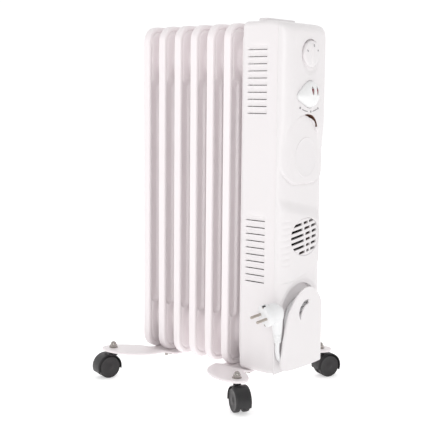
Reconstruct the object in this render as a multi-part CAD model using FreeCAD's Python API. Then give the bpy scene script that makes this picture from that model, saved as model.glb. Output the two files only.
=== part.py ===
import FreeCAD, Part
import math
import os

# Oil-filled radiator heater with fan-assisted front panel, on four twin-wheel casters.
# Millimetres. +X runs along the stack of oil fins towards the control panel, +Z is up,
# and the origin is on the floor under the middle of the heater.

# ---- driving dimensions -------------------------------------------------------------------
CENTRE_X = 141.23         # distance from the first fin's outer face to the origin
FIN_COUNT = 7
FIN_PITCH = 36.5
FIN_WIDTH = 14.3          # width of the rolled rim around each fin, along X
FIN_HALF = 64.0           # half depth, along Y
FIN_BOTTOM = 44.2
FIN_TOP = 625.0
FIN_CORNER = 28.0
SHEET = 0.8               # thickness of each pressed fin sheet
RIM_SHEET = 1.4
COLUMN_HALF = 36.0        # half depth of the raised oil channel
COLUMN_WIDTH = 11.0
HEADER_BOTTOM = 121.0     # the lower header reaches up to here
HEADER_TOP = 526.0        # and the upper one down to here
HUB_LOW = 102.0
HUB_HIGH = 567.0
HUB_RADIUS = 26.0
LAST_FIN_HALF = 58.0      # the last fin is narrower, because the case closes around it

CASE_BACK = 219.5
CASE_FRONT = 291.0
CASE_HALF = 63.0
CASE_BOTTOM = 47.2
CASE_TOP = 625.0
CASE_SHEET = 1.2
SHIELD_X = 242.0          # back of the heat shield
SHIELD_HALF = 58.6        # clear of the louvres on both sides
SHIELD_SHEET = 1.2
CASE_EDGE = 9.0
LOUVRE_START = 234.0
LOUVRE_LENGTH = 38.0
LOUVRE_SLOT = 3.4
LOUVRE_PITCH = 11.35
LOUVRE_COUNT = 10
LOUVRE_FIRST = (476.5, 199.5)    # height of the lowest slot of each group

PANEL_HALF = 61.5
PANEL_BOTTOM = 49.0
PANEL_TOP = 622.0
PANEL_WALL = 3.0
PANEL_CORNER = 31.0       # rounding of the panel's two top corners at its front
PANEL_CORNER_BACK = 9.5   # and where it meets the case
SIDE_ROUND = 25.0         # how far the panel's side rounding reaches along Y
FRONT_BASE = 305.0        # X of the panel's front between the raised areas
FRONT_BIB = 308.5
FRONT_CONTROL = 313.0
FRONT_VENT = 311.0
FRONT_WRAP = 318.0        # front of the cord-wrap plate
CONTROL_BOTTOM = 450.0
BIB_BOTTOM = 364.0
ARCH_PEAK = 475.0         # top of the finger recess under the controls
SLOT_RADIUS = 24.3        # finger slot: part of a ring under the arch
SLOT_CENTRE = 451.0
SLOT_FROM = -14.0         # angles about the ring's centre that the slot spans
SLOT_TO = 78.0
SLOT_HEIGHT = 5.6
SLOT_PITCH = 9.6          # spacing of the outlet's slots
GRILLE_BARS = (-4.2, 17.0)
VENT_LOW = 207.0
VENT_HIGH = 336.0
BADGE_Z = 406.0
BADGE_RISE = 33.0
BADGE_HALF = 31.0
GRILLE_Z = 275.0
GRILLE_HALF = 40.0
GRILLE_RISE = 30.5
GRILLE_TILT = 8.0         # degrees by which the outlet slots rise towards +Y
RECESS_TOP = 196.0        # top of the arched cord recess
RECESS_WALL_X = 294.0

KNOB_Z = 573.0
KNOB_RADIUS = 21.5
BOWL_RADIUS = 24.0
DOME_Z = 507.5
DOME_RADIUS = 22.0
DOME_FRONT = 325.0
ROCKER_OFFSET = 6.5
ROCKER_Z = 514.0
ROCKER_TILT = 7.0         # degrees either side of level

FAN_BACK = 262.0
FAN_FRONT = 274.0
FAN_RADIUS = 28.0

STEM_REAR = -19.0
STEM_FRONT = 265.0
STEM_Y = 122.0
STEM_RADIUS = 4.0
STEM_FOOT = 38.6          # lower end of the caster stems, above the wheels
WHEEL_RADIUS = 20.0
CASTER_TRAIL = 13.0
HOOD_RADIUS = 23.4
HOOD_SHEET = 1.8
HOOD_HALF = 13.2          # half width of the hood along its axle
WHEEL_FACE = 12.6         # outer face of each wheel, from the hood's middle
AXLE_RADIUS = 2.5
RUNNING_FIT = 0.05
FOOT_SHEET = 2.0
EAR_TOP = 52.5
SADDLE_TOP = 44.2
FLANGE = 6.3

CORD_DIAMETER = 7.4
CORD_LAYERS = 2
CORD_RINGS = 3
CORE_HALF = 18.3          # half width of the post that the cord is wound on
CORE_STRAIGHT = 17.0      # half length of the straight part of the winding
CORE_Z = 112.5
GLAND_RADIUS = 6.5
GLAND_Y = 30.0            # where the supply cord comes through the recess wall
CORD_ROUTE = [
    (305.4, -1.0, 58.4),
    (304.6, -22.0, 58.4),
    (301.0, -43.4, 66.0),
    (298.3, -61.4, 82.0),
    (305.6, -68.0, 107.6),
]
PLUG_BOOT = 38.0
PLUG_RADIUS = 18.5
PLUG_REACH = 55.0         # from the cord's end to the middle of the plug's bend
PLUG_FACE = 25.0          # from there to its pin face
PLUG_BACK = 7.5           # and to its rounded back
PLUG_TAIL = (-0.09, 0.19, -0.98)
PLUG_PINS = (-0.39, -0.87, -0.24)
PIN_SPACING = 19.0
PIN_LENGTH = 19.0

V = FreeCAD.Vector
X_AXIS = V(1, 0, 0)
Y_AXIS = V(0, 1, 0)
Z_AXIS = V(0, 0, 1)
NODES = {}


# ---- small helpers ------------------------------------------------------------------------
def box(x0, x1, y0, y1, z0, z1):
    return Part.makeBox(x1 - x0, y1 - y0, z1 - z0, V(x0, y0, z0))


def rod(radius, start, end):
    """Round bar between two points."""
    start, end = V(*start), V(*end)
    return Part.makeCylinder(radius, (end - start).Length, start, end - start)


def tube(outer, inner, start, end):
    return rod(outer, start, end).cut(rod(inner, start, end))


def fuse(shapes):
    shapes = list(shapes)
    if len(shapes) == 1:
        return shapes[0]
    return shapes[0].multiFuse(shapes[1:]).removeSplitter()


def cut(shape, tools):
    return shape.cut(list(tools))


def rounded_block(x0, x1, half, low, high, radius):
    """Block along X whose outline, seen along X, is a rounded rectangle."""
    solid = box(x0, x1, -half, half, low, high)
    edges = [e for e in solid.Edges if abs(e.tangentAt(e.FirstParameter).x) > 0.99]
    return solid.makeFillet(radius, edges)


def outline_prism(points, direction):
    """Prism over a closed outline. Three points in a tuple make an arc, two make a line."""
    edges = []
    for piece in points:
        if len(piece) == 3:
            edges.append(Part.Arc(*[V(*p) for p in piece]).toShape())
        else:
            edges.append(Part.LineSegment(V(*piece[0]), V(*piece[1])).toShape())
    return Part.Face(Part.Wire(edges)).extrude(V(*direction))


def turned(shape, degrees, axis=Z_AXIS, about=V(0, 0, 0)):
    copy = shape.copy()
    copy.rotate(about, axis, degrees)
    return copy


def moved(shape, x=0.0, y=0.0, z=0.0):
    copy = shape.copy()
    copy.translate(V(x, y, z))
    return copy


def keep(name, shape):
    NODES[name] = shape


# ---- oil fins -----------------------------------------------------------------------------
def fin(index):
    """One welded pair of pressed sheets: rolled rim, flat web, hollow column and headers."""
    start = index * FIN_PITCH
    middle = start + FIN_WIDTH / 2
    last = index == FIN_COUNT - 1
    half = LAST_FIN_HALF if last else FIN_HALF
    low = FIN_BOTTOM + 6.0 if last else FIN_BOTTOM
    high = FIN_TOP - 4.0 if last else FIN_TOP
    outer = rounded_block(start, start + FIN_WIDTH, half, low, high, FIN_CORNER)
    inner = rounded_block(
        start - 1, start + FIN_WIDTH + 1, half - RIM_SHEET, low + RIM_SHEET,
        high - RIM_SHEET, FIN_CORNER - RIM_SHEET)
    rim = outer.cut(inner)
    web = rounded_block(
        middle - SHEET, middle + SHEET, half - RIM_SHEET / 2, low + RIM_SHEET / 2,
        high - RIM_SHEET / 2, FIN_CORNER - RIM_SHEET / 2)
    side = COLUMN_WIDTH / 2
    header_half = half - 9.0
    column = box(middle - side, middle + side, -COLUMN_HALF, COLUMN_HALF, low + 30, high - 30)
    lower = rounded_block(
        middle - side, middle + side, header_half, low + 9, HEADER_BOTTOM, FIN_CORNER - 5)
    upper = rounded_block(
        middle - side, middle + side, header_half, HEADER_TOP, high - 9, FIN_CORNER - 5)
    solid = fuse([rim, web, column, lower, upper])
    wall = SHEET + 0.2
    hollow_side = side - wall
    cavity = fuse([
        box(middle - hollow_side, middle + hollow_side, -COLUMN_HALF + wall,
            COLUMN_HALF - wall, low + 32, high - 32),
        rounded_block(middle - hollow_side, middle + hollow_side, header_half - wall,
                      low + 9 + wall, HEADER_BOTTOM - wall, FIN_CORNER - 7),
        rounded_block(middle - hollow_side, middle + hollow_side, header_half - wall,
                      HEADER_TOP + wall, high - 9 - wall, FIN_CORNER - 7),
    ])
    bores = []
    for z in (HUB_LOW, HUB_HIGH):
        bore_start = middle if index == 0 else middle - side - 1
        bore_end = middle if last and z == HUB_HIGH else middle + side + 1
        bores.append(rod(HUB_RADIUS - 2, (bore_start, 0, z), (bore_end, 0, z)))
    return cut(solid, [cavity] + bores)


def fins():
    for index in range(FIN_COUNT):
        keep(f"fin_{index + 1}", fin(index))
    collars = []
    for index in range(FIN_COUNT - 1):
        start = index * FIN_PITCH + FIN_WIDTH / 2 + COLUMN_WIDTH / 2
        end = start + FIN_PITCH - COLUMN_WIDTH
        for z in (HUB_LOW, HUB_HIGH):
            collars.append(tube(HUB_RADIUS, HUB_RADIUS - 2, (start, 0, z), (end, 0, z)))
    keep("hub_collars", Part.makeCompound(collars))
    face = FIN_WIDTH / 2 - COLUMN_WIDTH / 2
    caps = [rod(HUB_RADIUS - 4, (face - 2.5, 0, z), (face, 0, z)) for z in (HUB_LOW, HUB_HIGH)]
    keep("hub_caps", Part.makeCompound(caps))
    plug = fuse([
        rod(7, (face - 6.5, 0, HUB_HIGH), (face - 2.5, 0, HUB_HIGH)),
        rod(4, (face - 8.5, 0, HUB_HIGH), (face - 6.5, 0, HUB_HIGH))])
    keep("filler_plug", plug)


def heating_element():
    """Sheathed U-shaped element lying in the lower oil header, and its screwed-in flange."""
    flange_back = (FIN_COUNT - 1) * FIN_PITCH + FIN_WIDTH / 2 + COLUMN_WIDTH / 2
    far = 48.0
    spread = 9.0
    rods = []
    for y in (-spread, spread):
        rods.append(rod(4, (far, y, HUB_LOW), (flange_back + 14, y, HUB_LOW)))
    bend = Part.makeTorus(spread, 4, V(far, 0, HUB_LOW), Z_AXIS)
    bend = bend.common(box(far - 20, far, -20, 20, HUB_LOW - 10, HUB_LOW + 10))
    keep("heating_element", fuse(rods + [bend]))
    flange = fuse([
        rod(HUB_RADIUS - 2.2, (flange_back - 6, 0, HUB_LOW), (flange_back, 0, HUB_LOW)),
        rod(HUB_RADIUS, (flange_back, 0, HUB_LOW), (flange_back + 5, 0, HUB_LOW))])
    holes = [rod(4, (flange_back - 8, y, HUB_LOW), (flange_back + 8, y, HUB_LOW))
             for y in (-spread, spread)]
    keep("element_flange", cut(flange, holes))


# ---- control housing ----------------------------------------------------------------------
def case_parts():
    """Folded steel case with two groups of louvres on each side, top cap and heat shield."""
    length = CASE_FRONT - CASE_BACK
    outer = rounded_block(CASE_BACK, CASE_FRONT, CASE_HALF, CASE_BOTTOM, CASE_TOP, CASE_EDGE)
    inner = rounded_block(
        CASE_BACK - 1, CASE_BACK + length + 1, CASE_HALF - CASE_SHEET, CASE_BOTTOM + CASE_SHEET,
        CASE_TOP - CASE_SHEET, CASE_EDGE - CASE_SHEET)
    case = outer.cut(inner)
    slots = []
    for first in LOUVRE_FIRST:
        for row in range(LOUVRE_COUNT):
            low = first + row * LOUVRE_PITCH
            slots.append(box(LOUVRE_START, LOUVRE_START + LOUVRE_LENGTH, -CASE_HALF - 2,
                             CASE_HALF + 2, low, low + LOUVRE_SLOT))
    keep("case_shell", cut(case, slots))
    cap = box(236, 265, -40, 40, CASE_TOP, CASE_TOP + 6.0)
    edges = [e for e in cap.Edges if e.CenterOfMass.z > CASE_TOP + 5.9]
    keep("top_cap", cap.makeFillet(1.5, edges))
    shield = rounded_block(SHIELD_X, SHIELD_X + SHIELD_SHEET, SHIELD_HALF,
                           CASE_BOTTOM + CASE_SHEET, CASE_TOP - CASE_SHEET,
                           CASE_EDGE - CASE_SHEET)
    shield = shield.cut(rod(15, (SHIELD_X - 2, 0, HUB_LOW), (SHIELD_X + 4, 0, HUB_LOW)))
    column_face = (FIN_COUNT - 1) * FIN_PITCH + FIN_WIDTH / 2 + COLUMN_WIDTH / 2
    legs = [rod(5, (column_face, 0, z), (SHIELD_X, 0, z)) for z in (200, 450)]
    keep("heat_shield", fuse([shield] + legs))


def panel_prism(front, half, round_y, low, high, back=CASE_FRONT):
    """Block with the panel's plan: flat back, rounded sides and a gently crowned front."""
    shoulder = half - round_y
    edge = front - 1.5
    side_x = back + 0.70 * (front - back)
    side_y = shoulder + round_y * 0.72
    outline = [
        ((back, -half, low), (side_x, -side_y, low), (edge, -shoulder, low)),
        ((edge, -shoulder, low), (front, 0, low), (edge, shoulder, low)),
        ((edge, shoulder, low), (side_x, side_y, low), (back, half, low)),
        ((back, half, low), (back, -half, low)),
    ]
    return outline_prism(outline, (0, 0, high - low))


def corner_outline(x, radius, low, high, half):
    """Closed wire in the plane x: upright sides, flat bottom, two rounded top corners."""
    y = half - radius
    diagonal = radius * math.sqrt(0.5)
    z = high - radius
    return Part.Wire([
        Part.makeLine(V(x, -half, low), V(x, half, low)),
        Part.makeLine(V(x, half, low), V(x, half, z)),
        Part.Arc(V(x, half, z), V(x, y + diagonal, z + diagonal), V(x, y, high)).toShape(),
        Part.makeLine(V(x, y, high), V(x, -y, high)),
        Part.Arc(V(x, -y, high), V(x, -y - diagonal, z + diagonal), V(x, -half, z)).toShape(),
        Part.makeLine(V(x, -half, z), V(x, -half, low)),
    ])


def top_corner_tool(shrink, low, high, half):
    """Everything inside the panel's elevation: its top corners grow rounder towards the front."""
    back = corner_outline(CASE_FRONT, PANEL_CORNER_BACK - shrink, low, high, half)
    front = corner_outline(FRONT_WRAP, PANEL_CORNER - shrink, low, high, half)
    behind = Part.Face(back).extrude(V(-20, 0, 0))
    return fuse([behind, Part.makeLoft([back, front], True, True)])


def front_panel():
    """Moulded panel: control block, bib with finger recess, fan outlet bulge, cord recess."""
    far = CASE_FRONT - 20
    deep = (80, 0, 0)
    base = panel_prism(FRONT_BASE, PANEL_HALF, SIDE_ROUND, PANEL_BOTTOM, PANEL_TOP)
    control = panel_prism(FRONT_CONTROL, PANEL_HALF, SIDE_ROUND, CONTROL_BOTTOM, PANEL_TOP)
    arch = outline_prism([
        ((far, -50, CONTROL_BOTTOM - 2), (far, 0, ARCH_PEAK), (far, 50, CONTROL_BOTTOM - 2)),
        ((far, 50, CONTROL_BOTTOM - 2), (far, -50, CONTROL_BOTTOM - 2)),
    ], deep)
    control = control.cut(arch.common(box(FRONT_BIB, FRONT_BIB + 30, -80, 80, 400, 500)))
    bib = panel_prism(FRONT_BIB, PANEL_HALF, SIDE_ROUND, BIB_BOTTOM, ARCH_PEAK + 5)
    bib_shape = outline_prism([
        ((far, -62, ARCH_PEAK + 6), (far, -62, 405)),
        ((far, -62, 405), (far, -51, 375), (far, -22, BIB_BOTTOM)),
        ((far, -22, BIB_BOTTOM), (far, 22, BIB_BOTTOM)),
        ((far, 22, BIB_BOTTOM), (far, 51, 375), (far, 62, 405)),
        ((far, 62, 405), (far, 62, ARCH_PEAK + 6)),
        ((far, 62, ARCH_PEAK + 6), (far, -62, ARCH_PEAK + 6)),
    ], deep)
    vent = panel_prism(FRONT_VENT, PANEL_HALF, SIDE_ROUND, VENT_LOW, VENT_HIGH)
    vent_shape = outline_prism([
        ((far, -62, VENT_LOW), (far, 10, 218), (far, 62, 254)),
        ((far, 62, 254), (far, 62, 304)),
        ((far, 62, 304), (far, 10, 330), (far, -62, VENT_HIGH)),
        ((far, -62, VENT_HIGH), (far, -62, VENT_LOW)),
    ], deep)
    solid = fuse([base, control, bib.common(bib_shape), vent.common(vent_shape)])
    solid = solid.common(top_corner_tool(0, PANEL_BOTTOM, PANEL_TOP, PANEL_HALF))

    wall = PANEL_WALL
    hollow = panel_prism(FRONT_BASE - wall, PANEL_HALF - wall, SIDE_ROUND - wall,
                         RECESS_TOP + wall, PANEL_TOP - wall, CASE_FRONT - 1)
    hollow = hollow.common(top_corner_tool(wall, PANEL_BOTTOM, PANEL_TOP - wall,
                                           PANEL_HALF - wall))
    radius = 54.0
    centre = RECESS_TOP - radius
    recess = fuse([
        rod(radius, (RECESS_WALL_X, 0, centre), (RECESS_WALL_X + 60, 0, centre)),
        box(RECESS_WALL_X, RECESS_WALL_X + 60, -80, 80, PANEL_BOTTOM - 5, centre + 8)])
    bowl = fuse([
        rod(BOWL_RADIUS, (FRONT_CONTROL - 6, 0, KNOB_Z), (FRONT_CONTROL + 20, 0, KNOB_Z)),
        rod(3.4, (FRONT_BASE - 20, 0, KNOB_Z), (FRONT_CONTROL, 0, KNOB_Z))])
    dome_seat = rod(DOME_RADIUS - 3.0, (FRONT_BASE - 20, 0, DOME_Z),
                    (FRONT_CONTROL + 20, 0, DOME_Z))
    outlet = grille_outline(FRONT_BASE - 20, 60, GRILLE_HALF, GRILLE_RISE)
    sides = CASE_HALF - CASE_SHEET
    low, high = CASE_BOTTOM + CASE_SHEET, CASE_TOP - CASE_SHEET
    corner = CASE_EDGE - CASE_SHEET
    tongue = rounded_block(CASE_FRONT - 6, CASE_FRONT + 1, sides, low, high, corner)
    tongue = tongue.cut(rounded_block(CASE_FRONT - 7, CASE_FRONT + 2, sides - 2, low + 2,
                                      high - 2, corner - 2))
    tongue = tongue.common(box(CASE_FRONT - 6, CASE_FRONT, -80, 80, 0, 700))
    gland = rod(GLAND_RADIUS, (CASE_FRONT - 5, GLAND_Y, CORE_Z),
                (RECESS_WALL_X + 1, GLAND_Y, CORE_Z))
    solid = cut(solid, [hollow, recess, bowl, dome_seat, outlet, finger_slot(), gland])
    keep("front_panel", fuse([solid, tongue]))


def finger_slot():
    """Curved slot just under the control block's arch, on its +Y half, to pull the heater by."""
    start, middle, end = [math.radians(a) for a in (SLOT_FROM, (SLOT_FROM + SLOT_TO) / 2, SLOT_TO)]

    def at(radius, angle):
        return (FRONT_BASE - 10, radius * math.sin(angle), SLOT_CENTRE + radius * math.cos(angle))
    outer, inner = SLOT_RADIUS, SLOT_RADIUS - SLOT_HEIGHT
    return outline_prism([
        (at(outer, start), at(outer, middle), at(outer, end)),
        (at(outer, end), at(inner, end)),
        (at(inner, end), at(inner, middle), at(inner, start)),
        (at(inner, start), at(outer, start)),
    ], (20, 0, 0))


def grille_outline(x, depth, half, rise):
    """Elliptical prism along X around the fan outlet."""
    ellipse = Part.Ellipse(V(x, 0, GRILLE_Z), half, rise)
    wire = Part.Wire([ellipse.toShape()])
    wire.rotate(V(x, 0, GRILLE_Z), X_AXIS, 90)
    wire.rotate(V(x, 0, GRILLE_Z), Z_AXIS, 90)
    return Part.Face(wire).extrude(V(depth, 0, 0))


def vent_grille():
    """Slotted outlet insert, with the slots rising to one side and two upright bars."""
    crown = panel_prism(FRONT_VENT, PANEL_HALF, SIDE_ROUND, VENT_LOW, VENT_HIGH)
    inside = panel_prism(FRONT_VENT - PANEL_WALL, PANEL_HALF - 3, SIDE_ROUND - 3,
                         VENT_LOW - 1, VENT_HIGH + 1, CASE_FRONT - 5)
    skin = crown.cut(inside).common(
        grille_outline(CASE_FRONT - 5, 60, GRILLE_HALF, GRILLE_RISE))
    slots = []
    for row in range(-3, 3):
        z = GRILLE_Z + (row + 0.5) * SLOT_PITCH
        slot = box(CASE_FRONT, CASE_FRONT + 40, -GRILLE_HALF, GRILLE_HALF, z - 2.3, z + 2.3)
        slots.append(turned(slot, GRILLE_TILT, X_AXIS, V(0, 0, GRILLE_Z)))
    rim = grille_outline(CASE_FRONT - 5, 60, GRILLE_HALF - 3, GRILLE_RISE - 3)
    bars = [box(CASE_FRONT, CASE_FRONT + 40, y - 2.3, y + 2.3, 200, 350) for y in GRILLE_BARS]
    openings = fuse(slots).common(rim).cut(fuse(bars))
    keep("vent_grille", skin.cut(openings))


def controls():
    """Thermostat with its knob, and the domed switch cluster with two rockers."""
    body = box(262, 292, -17, 17, KNOB_Z - 22, KNOB_Z + 22)
    nose = rod(6, (292, 0, KNOB_Z), (FRONT_BASE - PANEL_WALL, 0, KNOB_Z))
    bearing = rod(3.05, (280, 0, KNOB_Z), (FRONT_BASE, 0, KNOB_Z))
    keep("thermostat_body", fuse([body, nose]).cut(bearing))
    face = FRONT_CONTROL - 5.7
    knob = fuse([
        rod(KNOB_RADIUS, (face, 0, KNOB_Z), (FRONT_CONTROL + 2.5, 0, KNOB_Z)),
        box(FRONT_CONTROL, FRONT_CONTROL + 6.5, -4, 4, KNOB_Z - 19, KNOB_Z + 19),
        rod(3.0, (281, 0, KNOB_Z), (face, 0, KNOB_Z))])
    keep("thermostat_knob", knob)

    cap_radius = (DOME_RADIUS ** 2 + 12.5 ** 2) / (2 * 12.5)
    sphere = Part.makeSphere(cap_radius, V(DOME_FRONT - cap_radius, 0, DOME_Z))
    dome = sphere.common(rod(DOME_RADIUS, (FRONT_CONTROL - 0.5, 0, DOME_Z),
                             (DOME_FRONT + 1, 0, DOME_Z)))
    dome = fuse([dome, rod(DOME_RADIUS - 3.2, (FRONT_BASE - 6, 0, DOME_Z),
                           (FRONT_CONTROL + 0.5, 0, DOME_Z))])
    windows = [box(FRONT_BASE - 1, DOME_FRONT + 5, y - 2.6, y + 2.6, ROCKER_Z - 6.2,
                   ROCKER_Z + 6.2) for y in (-ROCKER_OFFSET, ROCKER_OFFSET)]
    keep("switch_bezel", cut(dome.cut(NODES["front_panel"]), windows))
    pivot_x = FRONT_BASE + 6.0
    for side, y in (("left", -ROCKER_OFFSET), ("right", ROCKER_OFFSET)):
        cap = box(pivot_x - 4, DOME_FRONT - 1.4, y - 2.2, y + 2.2, ROCKER_Z - 4.4, ROCKER_Z + 4.4)
        hinge = rod(1.3, (pivot_x, y - 2.5, ROCKER_Z), (pivot_x, y + 2.5, ROCKER_Z))
        cap = fuse([cap, hinge])
        keep(f"rocker_{side}", turned(cap, ROCKER_TILT, Y_AXIS, V(pivot_x, y, ROCKER_Z)))
    keep("switch_block", box(270, FRONT_BASE - 6, -15, 15, DOME_Z - 14, DOME_Z + 18))


def fan_parts():
    """Boost fan behind the outlet: duct, motor, impeller and finned heating grid."""
    duct = tube(34, 32, (252, 0, GRILLE_Z), (FRONT_BASE - PANEL_WALL - 2.2, 0, GRILLE_Z))
    spokes = [box(252, 254, -33, 33, GRILLE_Z - 2, GRILLE_Z + 2),
              box(252, 254, -2, 2, GRILLE_Z - 33, GRILLE_Z + 33)]
    shaft_hole = rod(14, (250, 0, GRILLE_Z), (258, 0, GRILLE_Z))
    keep("fan_duct", cut(fuse([duct] + spokes), [shaft_hole]))
    motor = fuse([
        rod(13.8, (SHIELD_X + SHIELD_SHEET, 0, GRILLE_Z), (259.5, 0, GRILLE_Z)),
        rod(1.5, (259, 0, GRILLE_Z), (FAN_FRONT - 2, 0, GRILLE_Z))])
    keep("fan_motor", motor)
    hub = rod(8, (FAN_BACK, 0, GRILLE_Z), (FAN_FRONT, 0, GRILLE_Z))
    blade = Part.makeBox(1.4, FAN_RADIUS - 6, 11.0, V(-0.7, 6, -5.5))
    blade = turned(blade, 38, Y_AXIS)
    blade = moved(blade, (FAN_BACK + FAN_FRONT) / 2, 0, GRILLE_Z)
    blades = [turned(blade, k * 360 / 7, X_AXIS, V(0, 0, GRILLE_Z)) for k in range(7)]
    hole = rod(1.5 + RUNNING_FIT, (FAN_BACK - 1, 0, GRILLE_Z), (FAN_FRONT - 1.5, 0, GRILLE_Z))
    keep("fan_wheel", fuse([hub] + blades).cut(hole))
    grid_back, grid_front = 281.0, 292.0
    frame = box(grid_back, grid_front, -24, 24, GRILLE_Z - 24, GRILLE_Z + 24)
    frame = frame.common(rod(32, (grid_back, 0, GRILLE_Z), (grid_front, 0, GRILLE_Z)))
    cells = []
    for row in range(5):
        z = GRILLE_Z - 18.5 + row * 7.6
        cells.append(box(grid_back - 1, grid_front + 1, -18, 18, z, z + 5.6))
    keep("fan_heater_grid", cut(frame, cells))


def inner_parts():
    """Thermal cut-out, terminal block, and the clamp where the supply cord comes in."""
    face = SHIELD_X + SHIELD_SHEET
    keep("thermal_cutout", fuse([
        box(face, face + 2, -16, 16, 402, 420),
        rod(8, (face + 2, 0, 411), (face + 9, 0, 411))]))
    keep("terminal_block", box(face, face + 13, 20, 52, 330, 346))
    keep("cord_clamp", fuse([
        rod(GLAND_RADIUS, (286, GLAND_Y, CORE_Z), (RECESS_WALL_X + 0.4, GLAND_Y, CORE_Z)),
        rod(GLAND_RADIUS + 2.5, (286, GLAND_Y, CORE_Z), (CASE_FRONT, GLAND_Y, CORE_Z))]))


def badge():
    """Plain oval plate on the bib, with no lettering."""
    ellipse = Part.Ellipse(V(FRONT_BIB - 1.2, 0, BADGE_Z), BADGE_RISE, BADGE_HALF)
    wire = Part.Wire([ellipse.toShape()])
    wire.rotate(V(FRONT_BIB - 1.2, 0, BADGE_Z), Y_AXIS, 90)
    plate = Part.Face(wire).extrude(V(2.4, 0, 0))
    crown = panel_prism(FRONT_BIB, PANEL_HALF, SIDE_ROUND, BIB_BOTTOM, ARCH_PEAK)
    keep("badge_plate", plate.cut(crown))


# ---- cord storage, cord and plug ----------------------------------------------------------
def wrap_parts():
    """Arched plate that holds the wound cord, and the post behind it."""
    thickness = 2.6
    low, high = 57.0, 191.0
    far = CASE_FRONT - 10
    skin = panel_prism(FRONT_WRAP, PANEL_HALF + 0.2, SIDE_ROUND, low, high).cut(
        panel_prism(FRONT_WRAP - thickness, PANEL_HALF + 0.2 - thickness, SIDE_ROUND - thickness,
                    low - 1, high + 1, CASE_FRONT - 1))
    arch = outline_prism([
        ((far, -57.2, low + 4), (far, -56.0, low + 1.2), (far, -53.2, low)),
        ((far, -53.2, low), (far, 53.2, low)),
        ((far, 53.2, low), (far, 56.0, low + 1.2), (far, 57.2, low + 4)),
        ((far, 57.2, low + 4), (far, 54.9, 104), (far, 48, 150)),
        ((far, 48, 150), (far, 0, high), (far, -48, 150)),
        ((far, -48, 150), (far, -54.9, 104), (far, -57.2, low + 4)),
    ], (60, 0, 0))
    hook = cut(rod(24.5, (far, 0, 144), (far + 60, 0, 144)), [
        rod(18.5, (far - 1, 0, 144), (far + 61, 0, 144)),
        box(far - 1, far + 61, 2, 40, 100, 200),
        box(far - 1, far + 61, -40, 40, 100, 140)])
    keep("wrap_plate", skin.common(arch).cut(hook))
    behind = panel_prism(FRONT_WRAP - thickness, PANEL_HALF + 0.2 - thickness,
                         SIDE_ROUND - thickness, low - 1, high + 1, CASE_FRONT - 1)
    keep("wrap_post", racetrack(RECESS_WALL_X, FRONT_WRAP, CORE_HALF).common(behind))


def cord_tube(route, diameter):
    """Round tube along straight runs joined by tangent arcs; prints its bend radii."""
    points = [V(*p) for p in route]
    edges = []
    last = points[0]
    for before, corner, after in zip(points, points[1:], points[2:]):
        back, ahead = before - corner, after - corner
        half_turn = (math.pi - back.getAngle(ahead)) / 2
        shorter = min(back.Length, ahead.Length)
        radius = 0.45 * shorter / math.tan(half_turn)
        reach = radius * math.tan(half_turn)
        back.normalize()
        ahead.normalize()
        start, end = corner + back * reach, corner + ahead * reach
        bisector = back + ahead
        bisector.normalize()
        depth = radius / math.cos(half_turn) - radius
        edges.append(Part.LineSegment(last, start).toShape())
        edges.append(Part.Arc(start, corner + bisector * depth, end).toShape())
        last = end
        print(f"cord bend radius {radius:.1f} mm")
    edges.append(Part.LineSegment(last, points[-1]).toShape())
    path = Part.Wire(edges)
    circle = Part.Wire([Part.Circle(points[0], points[1] - points[0], diameter / 2).toShape()])
    solid = path.makePipeShell([circle], True, True)
    section = math.pi * diameter ** 2 / 4
    print(f"cord tube length {path.Length:.1f}, volume ratio {solid.Volume / section / path.Length:.4f}")
    return solid


def racetrack(x0, x1, reach):
    """Upright block with round ends around the winding post."""
    low, high = CORE_Z - CORE_STRAIGHT, CORE_Z + CORE_STRAIGHT
    return fuse([
        box(x0, x1, -reach, reach, low, high),
        rod(reach, (x0, 0, low), (x1, 0, low)),
        rod(reach, (x0, 0, high), (x1, 0, high))])


def cord_parts():
    """The wound length as one solid, and the free tail that runs up into the plug."""
    outer = CORE_HALF + 0.3 + CORD_RINGS * CORD_DIAMETER
    x0 = RECESS_WALL_X + 0.4
    x1 = x0 + CORD_LAYERS * CORD_DIAMETER
    coil = racetrack(x0, x1, outer).cut(racetrack(x0 - 1, x1 + 1, CORE_HALF + 0.3))
    keep("cord_coil", coil)
    keep("cord_tail", cord_tube(CORD_ROUTE, CORD_DIAMETER))


def plug_parts():
    """Angled mains plug: round pin face, two pins, earth contacts, tapered boot."""
    end = V(*CORD_ROUTE[-1])
    tail = V(*PLUG_TAIL)
    tail.normalize()
    pins = V(*PLUG_PINS)
    pins.normalize()
    head = end - tail * PLUG_REACH
    face = head + pins * PLUG_FACE
    boot = Part.makeCone(5.6, 9.0, PLUG_BOOT, end, -tail)
    bend = Part.makeCylinder(9.0, PLUG_REACH - PLUG_BOOT, end - tail * PLUG_BOOT, -tail)
    disc = Part.makeCylinder(PLUG_RADIUS, 9, face, -pins)
    waist = Part.makeCone(PLUG_RADIUS, 14.5, PLUG_FACE - 9, face - pins * 9, -pins)
    back = Part.makeCone(14.5, 8.0, PLUG_BACK, head, -pins)
    solid = fuse([disc, waist, back, boot, bend])
    across = tail * 0.05 - tail.cross(pins)
    across = across - pins * across.dot(pins)
    across.normalize()
    upright = pins.cross(across)
    notches = []
    clips = []
    for sign in (-1, 1):
        notch = face + upright * sign * (PLUG_RADIUS - 1.2)
        notches.append(Part.makeCylinder(3.0, 13, notch + pins, -pins))
        clips.append(Part.makeCylinder(1.5, 11.5, notch - upright * sign * 1.5 - pins * 0.5, -pins))
    shanks = []
    for sign in (-1, 1):
        foot = face + across * sign * PIN_SPACING / 2
        shanks.append(Part.makeCylinder(2.4, PIN_LENGTH, foot, pins))
    keep("plug_body", cut(solid, notches))
    keep("plug_pins", Part.makeCompound(shanks))
    keep("plug_earth_clips", Part.makeCompound(clips))


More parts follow.
